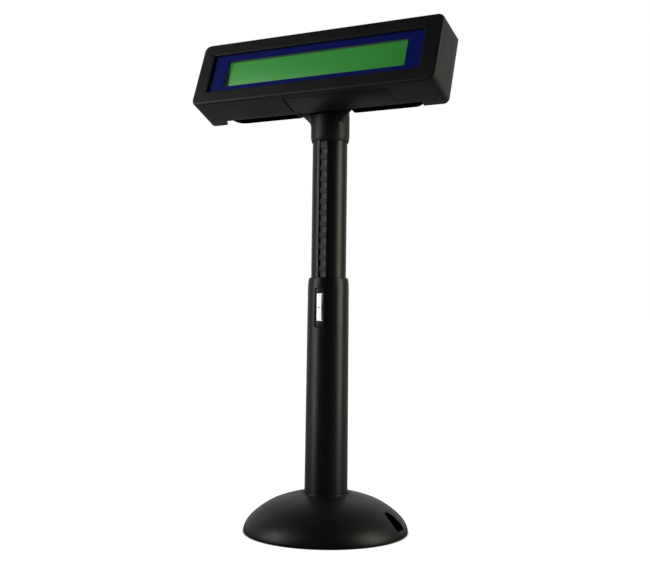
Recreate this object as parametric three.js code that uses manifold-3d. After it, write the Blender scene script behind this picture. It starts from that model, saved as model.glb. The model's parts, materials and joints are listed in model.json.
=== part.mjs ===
// Customer pole display: weighted round base, two-stage telescoping pole, swivel neck and
// tilting display head. Millimetres, +Z up, origin at the centre of the foot's underside,
// display face towards -Y, +X to the viewer's right.
import * as THREE from 'three';
import { mergeVertices } from 'three/addons/utils/BufferGeometryUtils.js';
import Module from 'manifold-3d';

const wasm = await Module();
wasm.setup();

// ---------------------------------------------------------------- driving dimensions
// Pairs are [low, high] or [inner, outer]; turns and tilts are in degrees.
const BASE_R = 68.8; // rim radius of the domed base
const PLATE_R = 61.8;
const PLATE_Z = [1.7, 6.3]; // steel weight plate
const FOOT_T = 1.6; // rubber foot ring thickness
const FOOT_R = [44, 60];
const OUTLET_TURN = 2.0; // cable outlet faces +X, turned this much towards +Y
const PLATE_SCREW_R = 36;
const POLE_SCREW_R = 24.2;

const LOWER_TOP_Z = 211.9; // top of the lower pole
const LOWER_R = [18.15, 17.33]; // lower pole outer radius, foot and top
const LOWER_BORE = 15.05;
const STOP_Z = 148.3; // step in the lower pole's bore that stops the slide bush
const STOP_BORE = 15.65;
const UPPER_R = 14.75; // upper pole outer radius
const UPPER_Z = [136, 336.5];
const UPPER_BORE = 12;

const LADDER_TURN = 3.5; // ladder's turn round from the front
const LADDER_HALF = 3.3; // half width of the ladder channel
const LADDER_FACE = 13.45; // rung face distance from the pole axis
const POCKET_FLOOR = 10.3; // pocket floor distance from the pole axis
const PITCH = 9.4; // detent pitch
const POCKET_H = 5.1;
const POCKET_TOP_Z = 320.4;
const POCKETS = 16;
const WINDOW_TURN = 1.5; // detent window's turn round from the front
const WINDOW_Z = [169.9, 202.7];
const WINDOW_HALF = 4.6;
const LEAF_Z = [175.6, 198.3];
const PIN_Z = 186.6;

const NECK_R = 16.45;
const NECK_Z = 327.1; // bottom of the neck collar
const CHEEK_X = [11.7, 15.4]; // inner and outer face of the neck's right upright
const HINGE = { y: -2, z: 368 }; // tilt axis, along X

const TILT = 20.85; // how far the face leans back at rest
const FACE = { y: -36.1, z: 388.75 }; // centre of the display face
// head case: corner radius at the face, and of the lower and upper corners at the rear edge
const HEAD = { width: 223.6, height: 61.6, depth: 35.15, corner: 6.1, rearCorners: [4.5, 1.6] };
const WALL = 2.6; // head case wall
const FACE_WALL = 2.4; // thickness of the bezel
const BEZEL = { x: [-99, 97.3], y: [-19.1, 18.4] }; // opening in the front case
const VIEW = { x: [-84.3, 83.1], y: [-13.3, 12.2] }; // opening in the blue panel
// raised back of the rear cover
const BACK = {
  halfWidth: 92.4,
  depth: 49.3, // behind the face
  y: [-27.0, 22],
  endRound: 28, // how far the ends round off in plan
  endStart: 29.5, // depth where that rounding starts
  lowerR: 12,
  upperR: 9,
  wall: 2.2,
};
// sheet steel tilt brackets, right-hand one
const BRACKET = { x: [26.3, 28.2], footX: 42, backZ: -42.9, footZ: -41.0, screwX: 36 };
const BRACKET_SCREW_Y = [4, 11.2];

// ---------------------------------------------------------------- finishes
const FINISH = {
  rubber: { color: 0x1c1c1e, roughness: 0.9 },
  plate: { color: 0x6d7073, roughness: 0.5, metalness: 0.8 },
  case: { color: 0x26272a, roughness: 0.5 },
  lowerPole: { color: 0x26272a, roughness: 0.42 },
  upperPole: { color: 0x26272a, roughness: 0.4 }, // neck as well
  socket: { color: 0x1b1b1d, roughness: 0.45 },
  frame: { color: 0x2c2d30, roughness: 0.5 },
  leaf: { color: 0xe6e6e2, roughness: 0.25, metalness: 0.9 },
  steel: { color: 0x9a9c9e, roughness: 0.3, metalness: 0.9 },
  sheetSteel: { color: 0x9a9c9e, roughness: 0.4, metalness: 0.8 },
  zinc: { color: 0xb9bcc0, roughness: 0.35, metalness: 0.9 },
  brightZinc: { color: 0xb9bcc0, roughness: 0.3, metalness: 0.9 },
  bush: { color: 0xd8d5cc, roughness: 0.5 },
  swivelWasher: { color: 0x8c7a4a, roughness: 0.5 },
  frictionWasher: { color: 0x4a3a2a, roughness: 0.7 },
  blackPart: { color: 0x202022, roughness: 0.5 },
  lead: { color: 0x202022, roughness: 0.6 },
  bluePanel: { color: 0x10146a, roughness: 0.4 },
  surround: { color: 0x46524a, roughness: 0.6 },
  filter: { color: 0x3f8c3f, roughness: 0.25 },
  glass: { color: 0x9fb5ae, roughness: 0.15 },
  board: { color: 0x1f5a34, roughness: 0.5 },
  coil: { color: 0x2a2520, roughness: 0.6 },
  connector: { color: 0xe8e4d8, roughness: 0.5 },
  label: { color: 0x2b2b2e, roughness: 0.5 },
};

// ---------------------------------------------------------------- placing and combining
const rad = (degrees) => (degrees * Math.PI) / 180;
const shift = (x, y, z) => new THREE.Matrix4().makeTranslation(x, y, z);
const turnX = (degrees) => new THREE.Matrix4().makeRotationX(rad(degrees));
const turnY = (degrees) => new THREE.Matrix4().makeRotationY(rad(degrees));
const turnZ = (degrees) => new THREE.Matrix4().makeRotationZ(rad(degrees));
const polar = (r, degrees) => [r * Math.cos(rad(degrees)), r * Math.sin(rad(degrees))];

const moved = (body, matrix) => body.transform(matrix.elements.slice());
const mirroredX = (body) => moved(body, new THREE.Matrix4().makeScale(-1, 1, 1));
const sum = (...bodies) => bodies.reduce((a, b) => a.add(b));
const cut = (body, ...tools) => tools.reduce((a, b) => a.subtract(b), body);
// one copy of the body at each [x, y]
const copies = (body, points) => sum(...points.map(([x, y]) => moved(body, shift(x, y, 0))));

// ---------------------------------------------------------------- basic solids
// closed BufferGeometry -> solid, outward facing
function solid(source, matrix = new THREE.Matrix4()) {
  let geometry = source.clone().applyMatrix4(matrix);
  for (const name of Object.keys(geometry.attributes)) {
    if (name !== 'position') geometry.deleteAttribute(name);
  }
  geometry = mergeVertices(geometry, 1e-4);
  const position = geometry.attributes.position;
  const corner = (i) => new THREE.Vector3().fromBufferAttribute(position, i);
  const source3 = geometry.index.array;
  const triangles = [];
  let volume = 0;
  for (let i = 0; i < source3.length; i += 3) {
    const [a, b, c] = source3.slice(i, i + 3);
    if (a === b || b === c || a === c) continue;
    triangles.push(a, b, c);
    volume += corner(a).dot(corner(b).cross(corner(c)));
  }
  if (volume < 0) triangles.reverse();
  return new wasm.Manifold(
    new wasm.Mesh({
      numProp: 3,
      vertProperties: new Float32Array(position.array),
      triVerts: new Uint32Array(triangles),
    }),
  );
}

// turned part about Z: closed profile of [r, z] pairs
function turned(profile, segments = 36) {
  const points = profile.map(([r, z]) => new THREE.Vector2(r, z));
  const onAxis = profile[0][0] < 1e-9 && profile[profile.length - 1][0] < 1e-9;
  if (!onAxis) points.push(points[0].clone());
  return solid(new THREE.LatheGeometry(points, segments), turnX(90));
}
const ring = (r0, r1, z0, z1, segments = 36) =>
  turned([[r0, z0], [r1, z0], [r1, z1], [r0, z1]], segments);
const disc = (r, z0, z1, segments = 24) => ring(0, r, z0, z1, segments);

const box = (x0, x1, y0, y1, z0, z1) =>
  solid(
    new THREE.BoxGeometry(x1 - x0, y1 - y0, z1 - z0),
    shift((x0 + x1) / 2, (y0 + y1) / 2, (z0 + z1) / 2),
  );

// round bar between two [x, y, z] points
function rod(r, from, to, segments) {
  const start = new THREE.Vector3(...from);
  const end = new THREE.Vector3(...to);
  const along = end.clone().sub(start);
  const spin = new THREE.Quaternion().setFromUnitVectors(
    new THREE.Vector3(0, 1, 0),
    along.clone().normalize(),
  );
  const middle = start.add(end).multiplyScalar(0.5);
  const matrix = new THREE.Matrix4().compose(middle, spin, new THREE.Vector3(1, 1, 1));
  return solid(new THREE.CylinderGeometry(r, r, along.length(), segments), matrix);
}

function roundRect(x0, x1, y0, y1, r) {
  const shape = new THREE.Shape();
  shape.moveTo(x0 + r, y0);
  shape.lineTo(x1 - r, y0);
  shape.absarc(x1 - r, y0 + r, r, -Math.PI / 2, 0);
  shape.lineTo(x1, y1 - r);
  shape.absarc(x1 - r, y1 - r, r, 0, Math.PI / 2);
  shape.lineTo(x0 + r, y1);
  shape.absarc(x0 + r, y1 - r, r, Math.PI / 2, Math.PI);
  shape.lineTo(x0, y0 + r);
  shape.absarc(x0 + r, y0 + r, r, Math.PI, 1.5 * Math.PI);
  return shape;
}
const polygon = (points) => new THREE.Shape(points.map(([x, y]) => new THREE.Vector2(x, y)));

// shape in XY pushed along Z
const prism = (shape, z0, z1, curveSegments = 5) =>
  solid(
    new THREE.ExtrudeGeometry(shape, { depth: z1 - z0, bevelEnabled: false, curveSegments }),
    shift(0, 0, z0),
  );
// outline of [y, z] points pushed along X
const YZ_TO_X = new THREE.Matrix4().makeBasis(
  new THREE.Vector3(0, 1, 0),
  new THREE.Vector3(0, 0, 1),
  new THREE.Vector3(1, 0, 0),
);
const prismX = (points, x0, x1) => moved(prism(polygon(points), x0, x1), YZ_TO_X);
// shape in XZ pushed along Y
const prismY = (shape, y0, y1, curveSegments) =>
  moved(prism(shape, -y1, -y0, curveSegments), turnX(90));

// screw along Z; shank, head and hexagonal socket are each [radius, z0, z1]
const screw = (shank, head, socket) =>
  sum(disc(...shank, 8), cut(disc(...head, 12), disc(...socket, 6)));

// lead along a smooth curve through the points
function cable(points, r, steps) {
  const path = points.map((p) => new THREE.Vector3(...p));
  const extrudePath = new THREE.CatmullRomCurve3(path, false, 'centripetal');
  const section = new THREE.Shape();
  section.absarc(0, 0, r, 0, 2 * Math.PI);
  const options = { steps, curveSegments: 3, bevelEnabled: false, extrudePath };
  return solid(new THREE.ExtrudeGeometry(section, options));
}

// ---------------------------------------------------------------- groups and meshes
const group = new THREE.Group();

const pole = new THREE.Group(); // upper pole and what turns with it
pole.rotation.z = rad(LADDER_TURN);
group.add(pole);

// head frame: origin at the face centre, +X right, +Y up the face, +Z out of the face
const head = new THREE.Group();
head.position.set(0, FACE.y, FACE.z);
head.rotation.x = Math.PI / 2 - rad(TILT);
group.add(head);

function piece(name, body, finish, parent = group) {
  const { vertProperties, triVerts } = body.getMesh();
  const geometry = new THREE.BufferGeometry();
  geometry.setAttribute('position', new THREE.Float32BufferAttribute(vertProperties, 3));
  geometry.setIndex(new THREE.Uint32BufferAttribute(triVerts, 1));
  geometry.computeVertexNormals();
  const mesh = new THREE.Mesh(geometry, new THREE.MeshStandardMaterial(finish));
  mesh.name = name;
  parent.add(mesh);
}
// numbered copies, one at each [x, y]
function pieces(name, body, points, finish, parent) {
  points.forEach((point, i) => {
    piece(`${name}_${i + 1}`, copies(body, [point]), finish, parent);
  });
}

// ---------------------------------------------------------------- base
const SCREW_ANGLES = [60, 180, 300];
const PLATE_SCREWS = SCREW_ANGLES.map((angle) => polar(PLATE_SCREW_R, angle));
const POLE_SCREWS = SCREW_ANGLES.map((angle) => polar(POLE_SCREW_R, angle + 30));

// domed cover, [r, z]: up the outside, over the bead round the pole foot, down the inside
const DOME = [
  [BASE_R - 0.5, 0.9], [BASE_R, 1.9], [68.2, 4.7], [66.1, 9.5], [62.4, 14.1], [55.7, 19.5],
  [47.3, 24.2], [37.3, 28.2], [27.6, 30.8], [20.5, 32.0],
  [20.1, 32.6], [19.4, 32.8], [18.5, 32.8], [18.5, 28.6],
  [21.4, 28.6], [36.9, 25.2], [46.5, 21.2], [54.5, 16.7], [60.8, 11.4], [64.8, 6.8], [65.8, 0.9],
];
// arched cable outlet, [y, z]
const OUTLET = [
  [-7.8, 6.3], [7.4, 6.3], [7.0, 9.4], [6.4, 13.0], [5.5, 16.2], [4.2, 18.6], [1.8, 20.2],
  [-1.2, 20.4], [-4.2, 19.0], [-6.2, 16.2], [-7.3, 12.6],
];

function baseCover() {
  const dome = sum(
    turned(DOME, 40),
    copies(ring(1.35, 3.8, 6.5, 26.5, 10), PLATE_SCREWS),
    copies(disc(2.9, 25.25, 28.95, 10), POLE_SCREWS),
  );
  const outlet = moved(prismX(OUTLET, 44, 80), turnZ(OUTLET_TURN));
  return cut(dome, copies(disc(1.2, 25, 28.4, 10), POLE_SCREWS), outlet);
}

// data socket behind the outlet, open towards it, with a latch slot over the opening
function dataSocket() {
  const opening = box(36.5, 48, -5.9, 5.9, 8.4, 15.2);
  const latchSlot = box(36.5, 48, -2.4, 2.4, 15, 16.8);
  const socket = cut(box(33.2, 47, -8, 8, 6.5, 18.2), opening, latchSlot);
  return moved(socket, turnZ(OUTLET_TURN));
}

piece('foot_ring', ring(...FOOT_R, 0, FOOT_T, 40), FINISH.rubber);
piece(
  'weight_plate',
  cut(disc(PLATE_R, ...PLATE_Z, 40), copies(disc(2.1, 0, 8, 8), PLATE_SCREWS)),
  FINISH.plate,
);
piece('base_cover', baseCover(), FINISH.case);
const plateScrew = screw([1.2, 1.59, 16], [4.0, 0.2, 1.6], [1.68, -0.8, 0.97]);
pieces('plate_screw', plateScrew, PLATE_SCREWS, FINISH.zinc);
piece('data_socket', dataSocket(), FINISH.socket);

// ---------------------------------------------------------------- lower pole and detent
// [r, z]: flanged foot, tapered outside, rounded lip, stepped bore
const LOWER_POLE = [
  [STOP_BORE, 22.0], [27.6, 22.0], [27.6, 25.0], [LOWER_R[0], 25.0],
  [LOWER_R[1], 203.0], [17.08, 207.6], [16.48, 211.2], [15.88, LOWER_TOP_Z],
  [LOWER_BORE, LOWER_TOP_Z], [LOWER_BORE, STOP_Z], [STOP_BORE, STOP_Z],
];
// strip with its ends turned in, [y, z]
const LEAF = [
  [-17.72, LEAF_Z[0]], [-15.55, LEAF_Z[0]], [-15.55, LEAF_Z[0] + 0.5],
  [-17.22, LEAF_Z[0] + 0.5], [-17.52, PIN_Z], [-17.22, LEAF_Z[1] - 0.5],
  [-15.55, LEAF_Z[1] - 0.5], [-15.55, LEAF_Z[1]], [-17.72, LEAF_Z[1]], [-18.02, PIN_Z],
];
// [r, distance in front of the pole axis], nose first
const DETENT_PIN = [
  [0, 11.75], [0.7, 11.85], [1.25, 12.65], [1.4, 13.55], [1.4, 17.05], [0.75, 17.05],
  [0.75, 18.15], [0, 18.15],
];
const atWindow = (body) => moved(body, turnZ(WINDOW_TURN));

// rounded opening through the front wall, smaller than the window by the inset
const windowBlock = (inset, cornerR) =>
  prismY(
    roundRect(
      -WINDOW_HALF + inset, WINDOW_HALF - inset, WINDOW_Z[0] + inset, WINDOW_Z[1] - inset, cornerR,
    ),
    -20,
    -10,
  );

function lowerPole() {
  const screwHoles = copies(disc(1.5, 20, 27, 10), POLE_SCREWS);
  return cut(turned(LOWER_POLE, 40), screwHoles, atWindow(windowBlock(0, 1.6)));
}

// curved frame filling the window, with a slot for the leaf
function detentFrame() {
  const slot = prismY(roundRect(-3.2, 3.2, LEAF_Z[0] - 0.4, LEAF_Z[1] + 0.4, 0.3), -20, -10);
  const shell = ring(15.3, 16.62, 160, 212, 48);
  return atWindow(windowBlock(0.15, 1.5).subtract(slot).intersect(shell));
}

function detentLeaf() {
  const pinHole = rod(0.85, [0, -19.5, PIN_Z], [0, -15.4, PIN_Z], 16);
  return atWindow(cut(prismX(LEAF, -2.3, 2.3), pinHole));
}

piece('lower_pole', lowerPole(), FINISH.lowerPole);
const poleScrew = screw([1.0, 21.89, 27.3], [2.6, 20.2, 21.9], [1.092, 19.2, 21.135]);
pieces('pole_screw', poleScrew, POLE_SCREWS, FINISH.zinc);
piece('detent_frame', detentFrame(), FINISH.frame);
piece('detent_leaf', detentLeaf(), FINISH.leaf);
// carried by the leaf, nose in a ladder pocket
const detentPin = moved(turned(DETENT_PIN, 14), shift(0, 0, PIN_Z).multiply(turnX(90)));
piece('detent_pin', atWindow(detentPin), FINISH.steel);

// ---------------------------------------------------------------- upper pole and swivel
const BUSH_SEAT_R = 13.2; // reduced foot of the upper pole, inside the slide bush
// [r, z]: sleeve, flange under the washer, journal with a clip groove
const SWIVEL_BUSH = [
  [6.2, 327], [11.35, 327], [11.35, 336.6], [14.1, 336.6], [14.1, 337.6], [9.0, 337.6],
  [9.0, 341.25], [8.2, 341.25], [8.2, 342.35], [9.0, 342.35], [8.6, 343.6], [6.2, 343.6],
];

function upperPole() {
  const [foot, top] = UPPER_Z;
  const seatTop = STOP_Z - 0.2;
  const profile = [
    [0, foot], [BUSH_SEAT_R, foot], [BUSH_SEAT_R, seatTop],
    [UPPER_R, seatTop], [UPPER_R, top], [0, top],
  ];
  // the bore is flat at the front, behind the ladder
  const bore = cut(disc(UPPER_BORE, foot - 1, 326), box(-20, 20, -20, -8.95, 100, 400));
  const topBore = disc(11.5, 325, top + 1);
  const channel = box(-LADDER_HALF, LADDER_HALF, -20, -LADDER_FACE, 160, top + 1);
  let body = cut(turned(profile, 40), bore, topBore, channel);
  for (let i = 0; i < POCKETS; i++) {
    const z = POCKET_TOP_Z - i * PITCH;
    body = body.subtract(box(-LADDER_HALF, LADDER_HALF, -20, -POCKET_FLOOR, z - POCKET_H, z));
  }
  return body;
}

// retaining ring with a gap on its +Y side
function swivelClip() {
  const gap = prism(polygon([[0, 0], [5.5, 20], [-5.5, 20]]), 340, 344);
  return cut(ring(8.3, 10.9, 341.35, 342.25, 20), gap);
}

piece('upper_pole', upperPole(), FINISH.upperPole, pole);
const slideBush = ring(BUSH_SEAT_R + 0.1, 15.45, UPPER_Z[0] + 0.05, STOP_Z - 0.35, 32);
piece('slide_bush', slideBush, FINISH.bush, pole);
piece('swivel_bush', turned(SWIVEL_BUSH, 20), FINISH.bush, pole);
piece('swivel_clip', swivelClip(), FINISH.steel, pole);
piece('swivel_washer', ring(9.15, 14.0, 337.65, 338.3, 24), FINISH.swivelWasher, pole);

// ---------------------------------------------------------------- neck
// round collar with an inner floor, [r, z]
const COLLAR = [
  [15.08, NECK_Z], [15.6, NECK_Z], [16.29, NECK_Z + 3.4], [NECK_R, NECK_Z + 4.6], [NECK_R, 353],
  [11.4, 353], [11.4, 341.0], [9.2, 341.0], [9.2, 338.4], [15.08, 338.4],
];
// side uprights, [y, z]
const UPRIGHT = [[-5.2, 340], [4.6, 340], [5.0, 366], [0, 372], [-6, 372], [-9.7, 366], [-9.7, 345.5]];
// flared front web, [x, z]
const WEB = [[-12.8, 341.6], [12.8, 341.6], [24.8, 352.8], [24.8, 366], [-24.8, 366], [-24.8, 352.8]];

function neck() {
  // front top edge slopes back so that the head can drop past it, and the rear is lower
  const slope = shift(0, -NECK_R, 349.1).multiply(turnX(-69));
  const collar = cut(
    turned(COLLAR, 40),
    moved(box(-30, 30, -30, 0, 0, 30), slope),
    box(-30, 30, 5, 30, 349.3, 400),
  );
  const floorRecess = box(-20, 20, -9.6, 9, 338, 341.05).intersect(disc(11.3, 330, 345));
  const cheek = sum(
    cut(prismX(UPRIGHT, ...CHEEK_X), floorRecess),
    rod(7, [12, HINGE.y, HINGE.z], [25, HINGE.y, HINGE.z], 24),
  );
  const web = cut(prismY(polygon(WEB), -9.7, -7.5), disc(11.4, 338, 349.5));
  return cut(
    sum(collar, cheek, mirroredX(cheek), web),
    // throat for the lead between the two uprights
    box(-CHEEK_X[0], CHEEK_X[0], -7.4, 20, 352.5, 380),
    disc(11.35, 341.05, 353.5),
    rod(2.05, [-30, HINGE.y, HINGE.z], [30, HINGE.y, HINGE.z], 14),
  );
}

// hinge hardware at one end of the tilt axis; z below is the distance out from the centre
function hingeHardware(side, sign) {
  const outwards = shift(0, HINGE.y, HINGE.z).multiply(turnY(90 * sign));
  const add = (name, body, finish) => piece(`${name}_${side}`, moved(body, outwards), finish);
  const pinHead = cut(disc(4.2, 29.25, 31.4, 16), disc(1.9, 30.4, 33, 6));
  add('tilt_pin', sum(disc(1.98, 8.6, 29.3, 14), pinHead), FINISH.brightZinc);
  add('tilt_nut', cut(disc(3.9, 9.3, 11.6, 6), disc(2.06, 9, 13, 14)), FINISH.zinc);
  add('friction_washer', ring(2.12, 6.4, 25.1, 26.2, 16), FINISH.frictionWasher);
  const cone = [[2.1, 28.55], [4.6, 28.3], [4.6, 28.8], [2.1, 29.15]];
  add('spring_washer', turned(cone, 16), FINISH.steel);
}

piece('neck', neck(), FINISH.upperPole);
hingeHardware('left', -1);
hingeHardware('right', 1);
piece(
  'inline_connector',
  cut(box(-9.4, 9.4, -4, 2, 345, 358), box(-8.4, 8.4, -3, 1, 355.9, 359)),
  FINISH.blackPart,
);

// ---------------------------------------------------------------- display head
// everything from here to the leads is in the head frame; depth is measured behind the face
const HALF_W = HEAD.width / 2;
const HALF_H = HEAD.height / 2;
const fourCorners = (x, y) => [[-x, -y], [x, -y], [-x, y], [x, y]];
const CASE_SCREWS = fourCorners(105.3, 19.5);
const BOARD_SCREWS = fourCorners(80, 24.4);

// round-cornered slab between two depths
const slab = (x0, x1, y0, y1, r, depth0, depth1, curveSegments) =>
  prism(roundRect(x0, x1, y0, y1, r), -depth1, -depth0, curveSegments);
// slab of the case outline, drawn in by the inset
const caseSlab = (inset, r, depth0, depth1) =>
  slab(-HALF_W + inset, HALF_W - inset, -HALF_H + inset, HALF_H - inset, r, depth0, depth1);

// hull from a softened front edge to the rear edge, where the corners are tighter
function caseBlock() {
  const bevel = 1.6;
  const outline = roundRect(
    -HALF_W + bevel, HALF_W - bevel, -HALF_H + bevel, HALF_H - bevel, HEAD.corner - bevel,
  );
  const options = {
    depth: 1,
    bevelEnabled: true,
    bevelThickness: bevel,
    bevelSize: bevel,
    bevelSegments: 2,
    curveSegments: 4,
  };
  const front = solid(new THREE.ExtrudeGeometry(outline, options), shift(0, 0, -1 - bevel));
  const rear = [HEAD.depth - 0.1, HEAD.depth];
  return wasm.Manifold.hull([
    cut(front, box(-200, 200, -60, 60, -10, -2)), // leaves off the rear bevel
    slab(-HALF_W, HALF_W, -HALF_H, 0, HEAD.rearCorners[0], ...rear, 4),
    slab(-HALF_W, HALF_W, 0, HALF_H, HEAD.rearCorners[1], ...rear, 4),
  ]);
}

function frontCase() {
  const shell = cut(
    caseBlock(),
    caseSlab(WALL, 3, FACE_WALL, 60),
    slab(...BEZEL.x, ...BEZEL.y, 1, -2, 6, 3),
    box(-94, 91, -40, -20, -60, -29.35), // notch in the rear of the bottom wall
  );
  const posts = sum(
    copies(ring(1.3, 3.7, -30.9, -2, 10), CASE_SCREWS),
    copies(ring(1.15, 2.95, -19.4, -2, 10), BOARD_SCREWS),
  );
  return shell.add(posts.intersect(caseSlab(1, 5, FACE_WALL - 0.1, 60)));
}

const viewOpening = slab(...VIEW.x, ...VIEW.y, 0.6, 2, 7, 2);
const bluePanel = cut(slab(-100.5, 99.8, -21.3, 20.8, 1, 2.6, 3.4, 2), viewOpening);
const surround = sum(
  slab(-93.5, 92.5, -19, 18, 1, 3.5, 4.4, 2),
  slab(-85.9, 84.7, -14.9, 13.8, 1, 4.3, 5.4, 2),
);
const displayTube = sum(
  slab(-91, 91, -17.5, 17, 0.6, 10.2, 16.1, 2),
  rod(1.6, [90.5, 10, -13.1], [94.2, 10, -13.1], 16), // stub on the right end
);
const displayBoard = cut(
  slab(-97, 97, -26.4, 26.4, 1, 19.5, 21.1, 2),
  copies(disc(1.2, -24, -18, 10), BOARD_SCREWS),
);
const BOARD_REAR_Z = -21.15; // where parts sit on the rear of the board
const boardScrew = screw([0.95, -21.2, -9], [1.9, -22.7, BOARD_REAR_Z], [0.8, -24, -22.0]);
const COIL = [
  [0, -30.5], [6, -30.5], [6.5, -29.8], [6.5, -21.8], [6, BOARD_REAR_Z], [0, BOARD_REAR_Z],
]; // [r, z]
const boardConnector = cut(
  box(-41, -27, -18, -12.5, -27.5, BOARD_REAR_Z),
  box(-40, -28, -17, -13.5, -29, -24),
);

piece('front_case', frontCase(), FINISH.case, head);
piece('blue_panel', bluePanel, FINISH.bluePanel, head);
piece('window_surround', cut(surround, viewOpening), FINISH.surround, head);
piece('green_filter', slab(-88, 87, -16.9, 15.8, 1, 5.5, 7.5, 2), FINISH.filter, head);
piece('display_tube', displayTube, FINISH.glass, head);
piece('display_board', displayBoard, FINISH.board, head);
pieces('board_screw', boardScrew, BOARD_SCREWS, FINISH.zinc, head);
const chip = slab(-52, -38, -6, 8, 0.4, -BOARD_REAR_Z, 23, 2);
piece('controller_chip', chip, FINISH.blackPart, head);
piece('power_coil', copies(turned(COIL, 20), [[62, 2]]), FINISH.coil, head);
piece('board_connector', boardConnector, FINISH.connector, head);

// side outline of the raised back, [y, depth], drawn in by the inset
function backSide(inset, startDepth) {
  const [bottom, top] = BACK.y;
  const { lowerR, upperR, depth } = BACK;
  const points = [[bottom + inset, startDepth], [bottom + inset, depth - lowerR]];
  for (let i = 1; i <= 4; i++) {
    const [across, back] = polar(lowerR - inset, 22.5 * i);
    points.push([bottom + lowerR - across, depth - lowerR + back]);
  }
  for (let i = 0; i <= 3; i++) {
    const [back, across] = polar(upperR - inset, 30 * i);
    points.push([top - upperR + across, depth - upperR + back]);
  }
  points.push([top - inset, startDepth]);
  return points;
}

// plan outline of the raised back, [x, depth], drawn in by the inset
function backPlan(inset, startDepth) {
  const { halfWidth, depth, endRound, endStart } = BACK;
  const left = [[-halfWidth + inset, startDepth]];
  for (let i = 0; i <= 5; i++) {
    const angle = rad(18 * i);
    left.push([
      -(halfWidth - endRound) - (endRound - inset) * Math.cos(angle),
      endStart + (depth - endStart - inset) * Math.sin(angle),
    ]);
  }
  const right = left.map(([x, d]) => [-x, d]).reverse();
  return [...left, ...right];
}

// the two outlines crossed
function backBlock(inset, sideStart, planStart) {
  const behind = ([across, depth]) => [across, -depth];
  const side = prismX(backSide(inset, sideStart).map(behind), -95, 95);
  const plan = prismY(polygon(backPlan(inset, planStart).map(behind)), -40, 40);
  return side.intersect(plan);
}

const bracketScrews = (sign) => BRACKET_SCREW_Y.map((y) => [BRACKET.screwX * sign, y]);

// lid plate with a raised hollow back, open at the bottom centre for the neck
function rearCover() {
  const lid = slab(-108.6, 108.6, -27.7, 27.7, 2.6, 31.0, 33.4, 4);
  // the back is trimmed level with the lid's front, except for a strip along its bottom
  const trim = cut(
    box(-100, 100, -40, 40, -31.0, -20),
    box(-100, 100, -40, -24.9, -31.1, -29),
  );
  const shell = cut(sum(lid, cut(backBlock(0, 29.7, 29.0), trim)), backBlock(BACK.wall, 20, 20));
  const bracketPosts = copies(
    ring(1.35, 3.2, -47.6, -43.05, 10),
    [...bracketScrews(-1), ...bracketScrews(1)],
  );
  return cut(
    sum(shell, bracketPosts),
    copies(disc(1.75, -40, -20, 10), CASE_SCREWS),
    box(-26, 26, -40, 1.5, -60, -29),
  );
}

piece('rear_cover', rearCover(), FINISH.case, head);
const caseScrew = screw([1.1, -33.5, -18], [2.8, -35.1, -33.45], [1.2, -37, -34.3]);
pieces('case_screw', caseScrew, CASE_SCREWS, FINISH.zinc, head);

// right-hand bracket: ear on the hinge pin, and a foot screwed to the rear cover
function tiltBracket() {
  const dy = HINGE.y - FACE.y;
  const dz = HINGE.z - FACE.z;
  const [cos, sin] = polar(1, TILT);
  const hingeY = dy * sin + dz * cos;
  const hingeZ = dz * sin - dy * cos;
  const { x, footX, backZ, footZ } = BRACKET;
  const ear = sum(
    rod(6.4, [x[0], hingeY, hingeZ], [x[1], hingeY, hingeZ], 20),
    box(...x, hingeY, hingeY + 21.5, backZ, backZ + 7.2),
    box(x[0], footX, 0.4, 14.0, backZ, footZ),
  );
  return cut(
    ear,
    rod(2.1, [20, hingeY, hingeZ], [35, hingeY, hingeZ], 14),
    copies(disc(1.4, -50, -30, 10), bracketScrews(1)),
  );
}

const bracket = tiltBracket();
const bracketScrew = screw([1.15, -46.8, -40.9], [2.5, -40.95, -39.2], [1.05, -40.0, -38]);
for (const [side, sign] of [['left', -1], ['right', 1]]) {
  const body = sign < 0 ? mirroredX(bracket) : bracket;
  piece(`tilt_bracket_${side}`, body, FINISH.sheetSteel, head);
  pieces(`bracket_screw_${side}`, bracketScrew, bracketScrews(sign), FINISH.zinc, head);
}

// blank rating label under the case
const labelShape = roundRect(-23.5, 70, -26.4, -5.4, 1.2);
piece('rating_label', prismY(labelShape, -HALF_H - 0.55, -HALF_H - 0.35, 3), FINISH.label, head);

// ---------------------------------------------------------------- leads
// head frame: from the board connector over the neck's front wall to the hinge gap
const HEAD_LEAD = [
  [-34, -15.2, -27.8], [-34, -12, -29.7], [-28, -2, -29.8], [-14, 4, -30.0],
  [-4, 3.5, -31.8], [0, -1, -36.5], [0, -8, -40.5],
];
piece('head_lead', cable(HEAD_LEAD, 1.4, 20), FINISH.lead, head);

// from the neck down the pole, one slack loop in the base, to the socket
function poleLead() {
  const points = [
    [0, -1, 344.6], [0, -0.5, 330], [0.5, 1, 250], [-0.5, 1, 150], [0, 0, 60], [0, 0, 30],
    [2, -1, 22],
  ];
  for (let i = 0; i <= 9; i++) {
    const spread = Math.min(i, 3); // the loop widens and drops over its first three steps
    points.push([...polar(8 + spread * 6, -75 - i * 30), 15.5 - spread * 1.4]);
  }
  points.push([25.0, 0.8, 11.4], [32.3, 3.1, 11.6]);
  return cable(points, 2.4, 70);
}
piece('pole_lead', poleLead(), FINISH.lead);

export default group;
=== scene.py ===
# Pole display: a wide display head with a green window, tilted back on a neck, on a pole that
# slides in a fixed lower pole on a domed round base. Sizes are in millimetres unless a comment
# says otherwise. The base stands on z = 0 with the pole on the Z axis; the face looks
# to -Y and a little up, and +X is the viewer's right.
import bpy, bmesh, math, json
import numpy as np
from mathutils import Vector, Matrix

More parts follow.
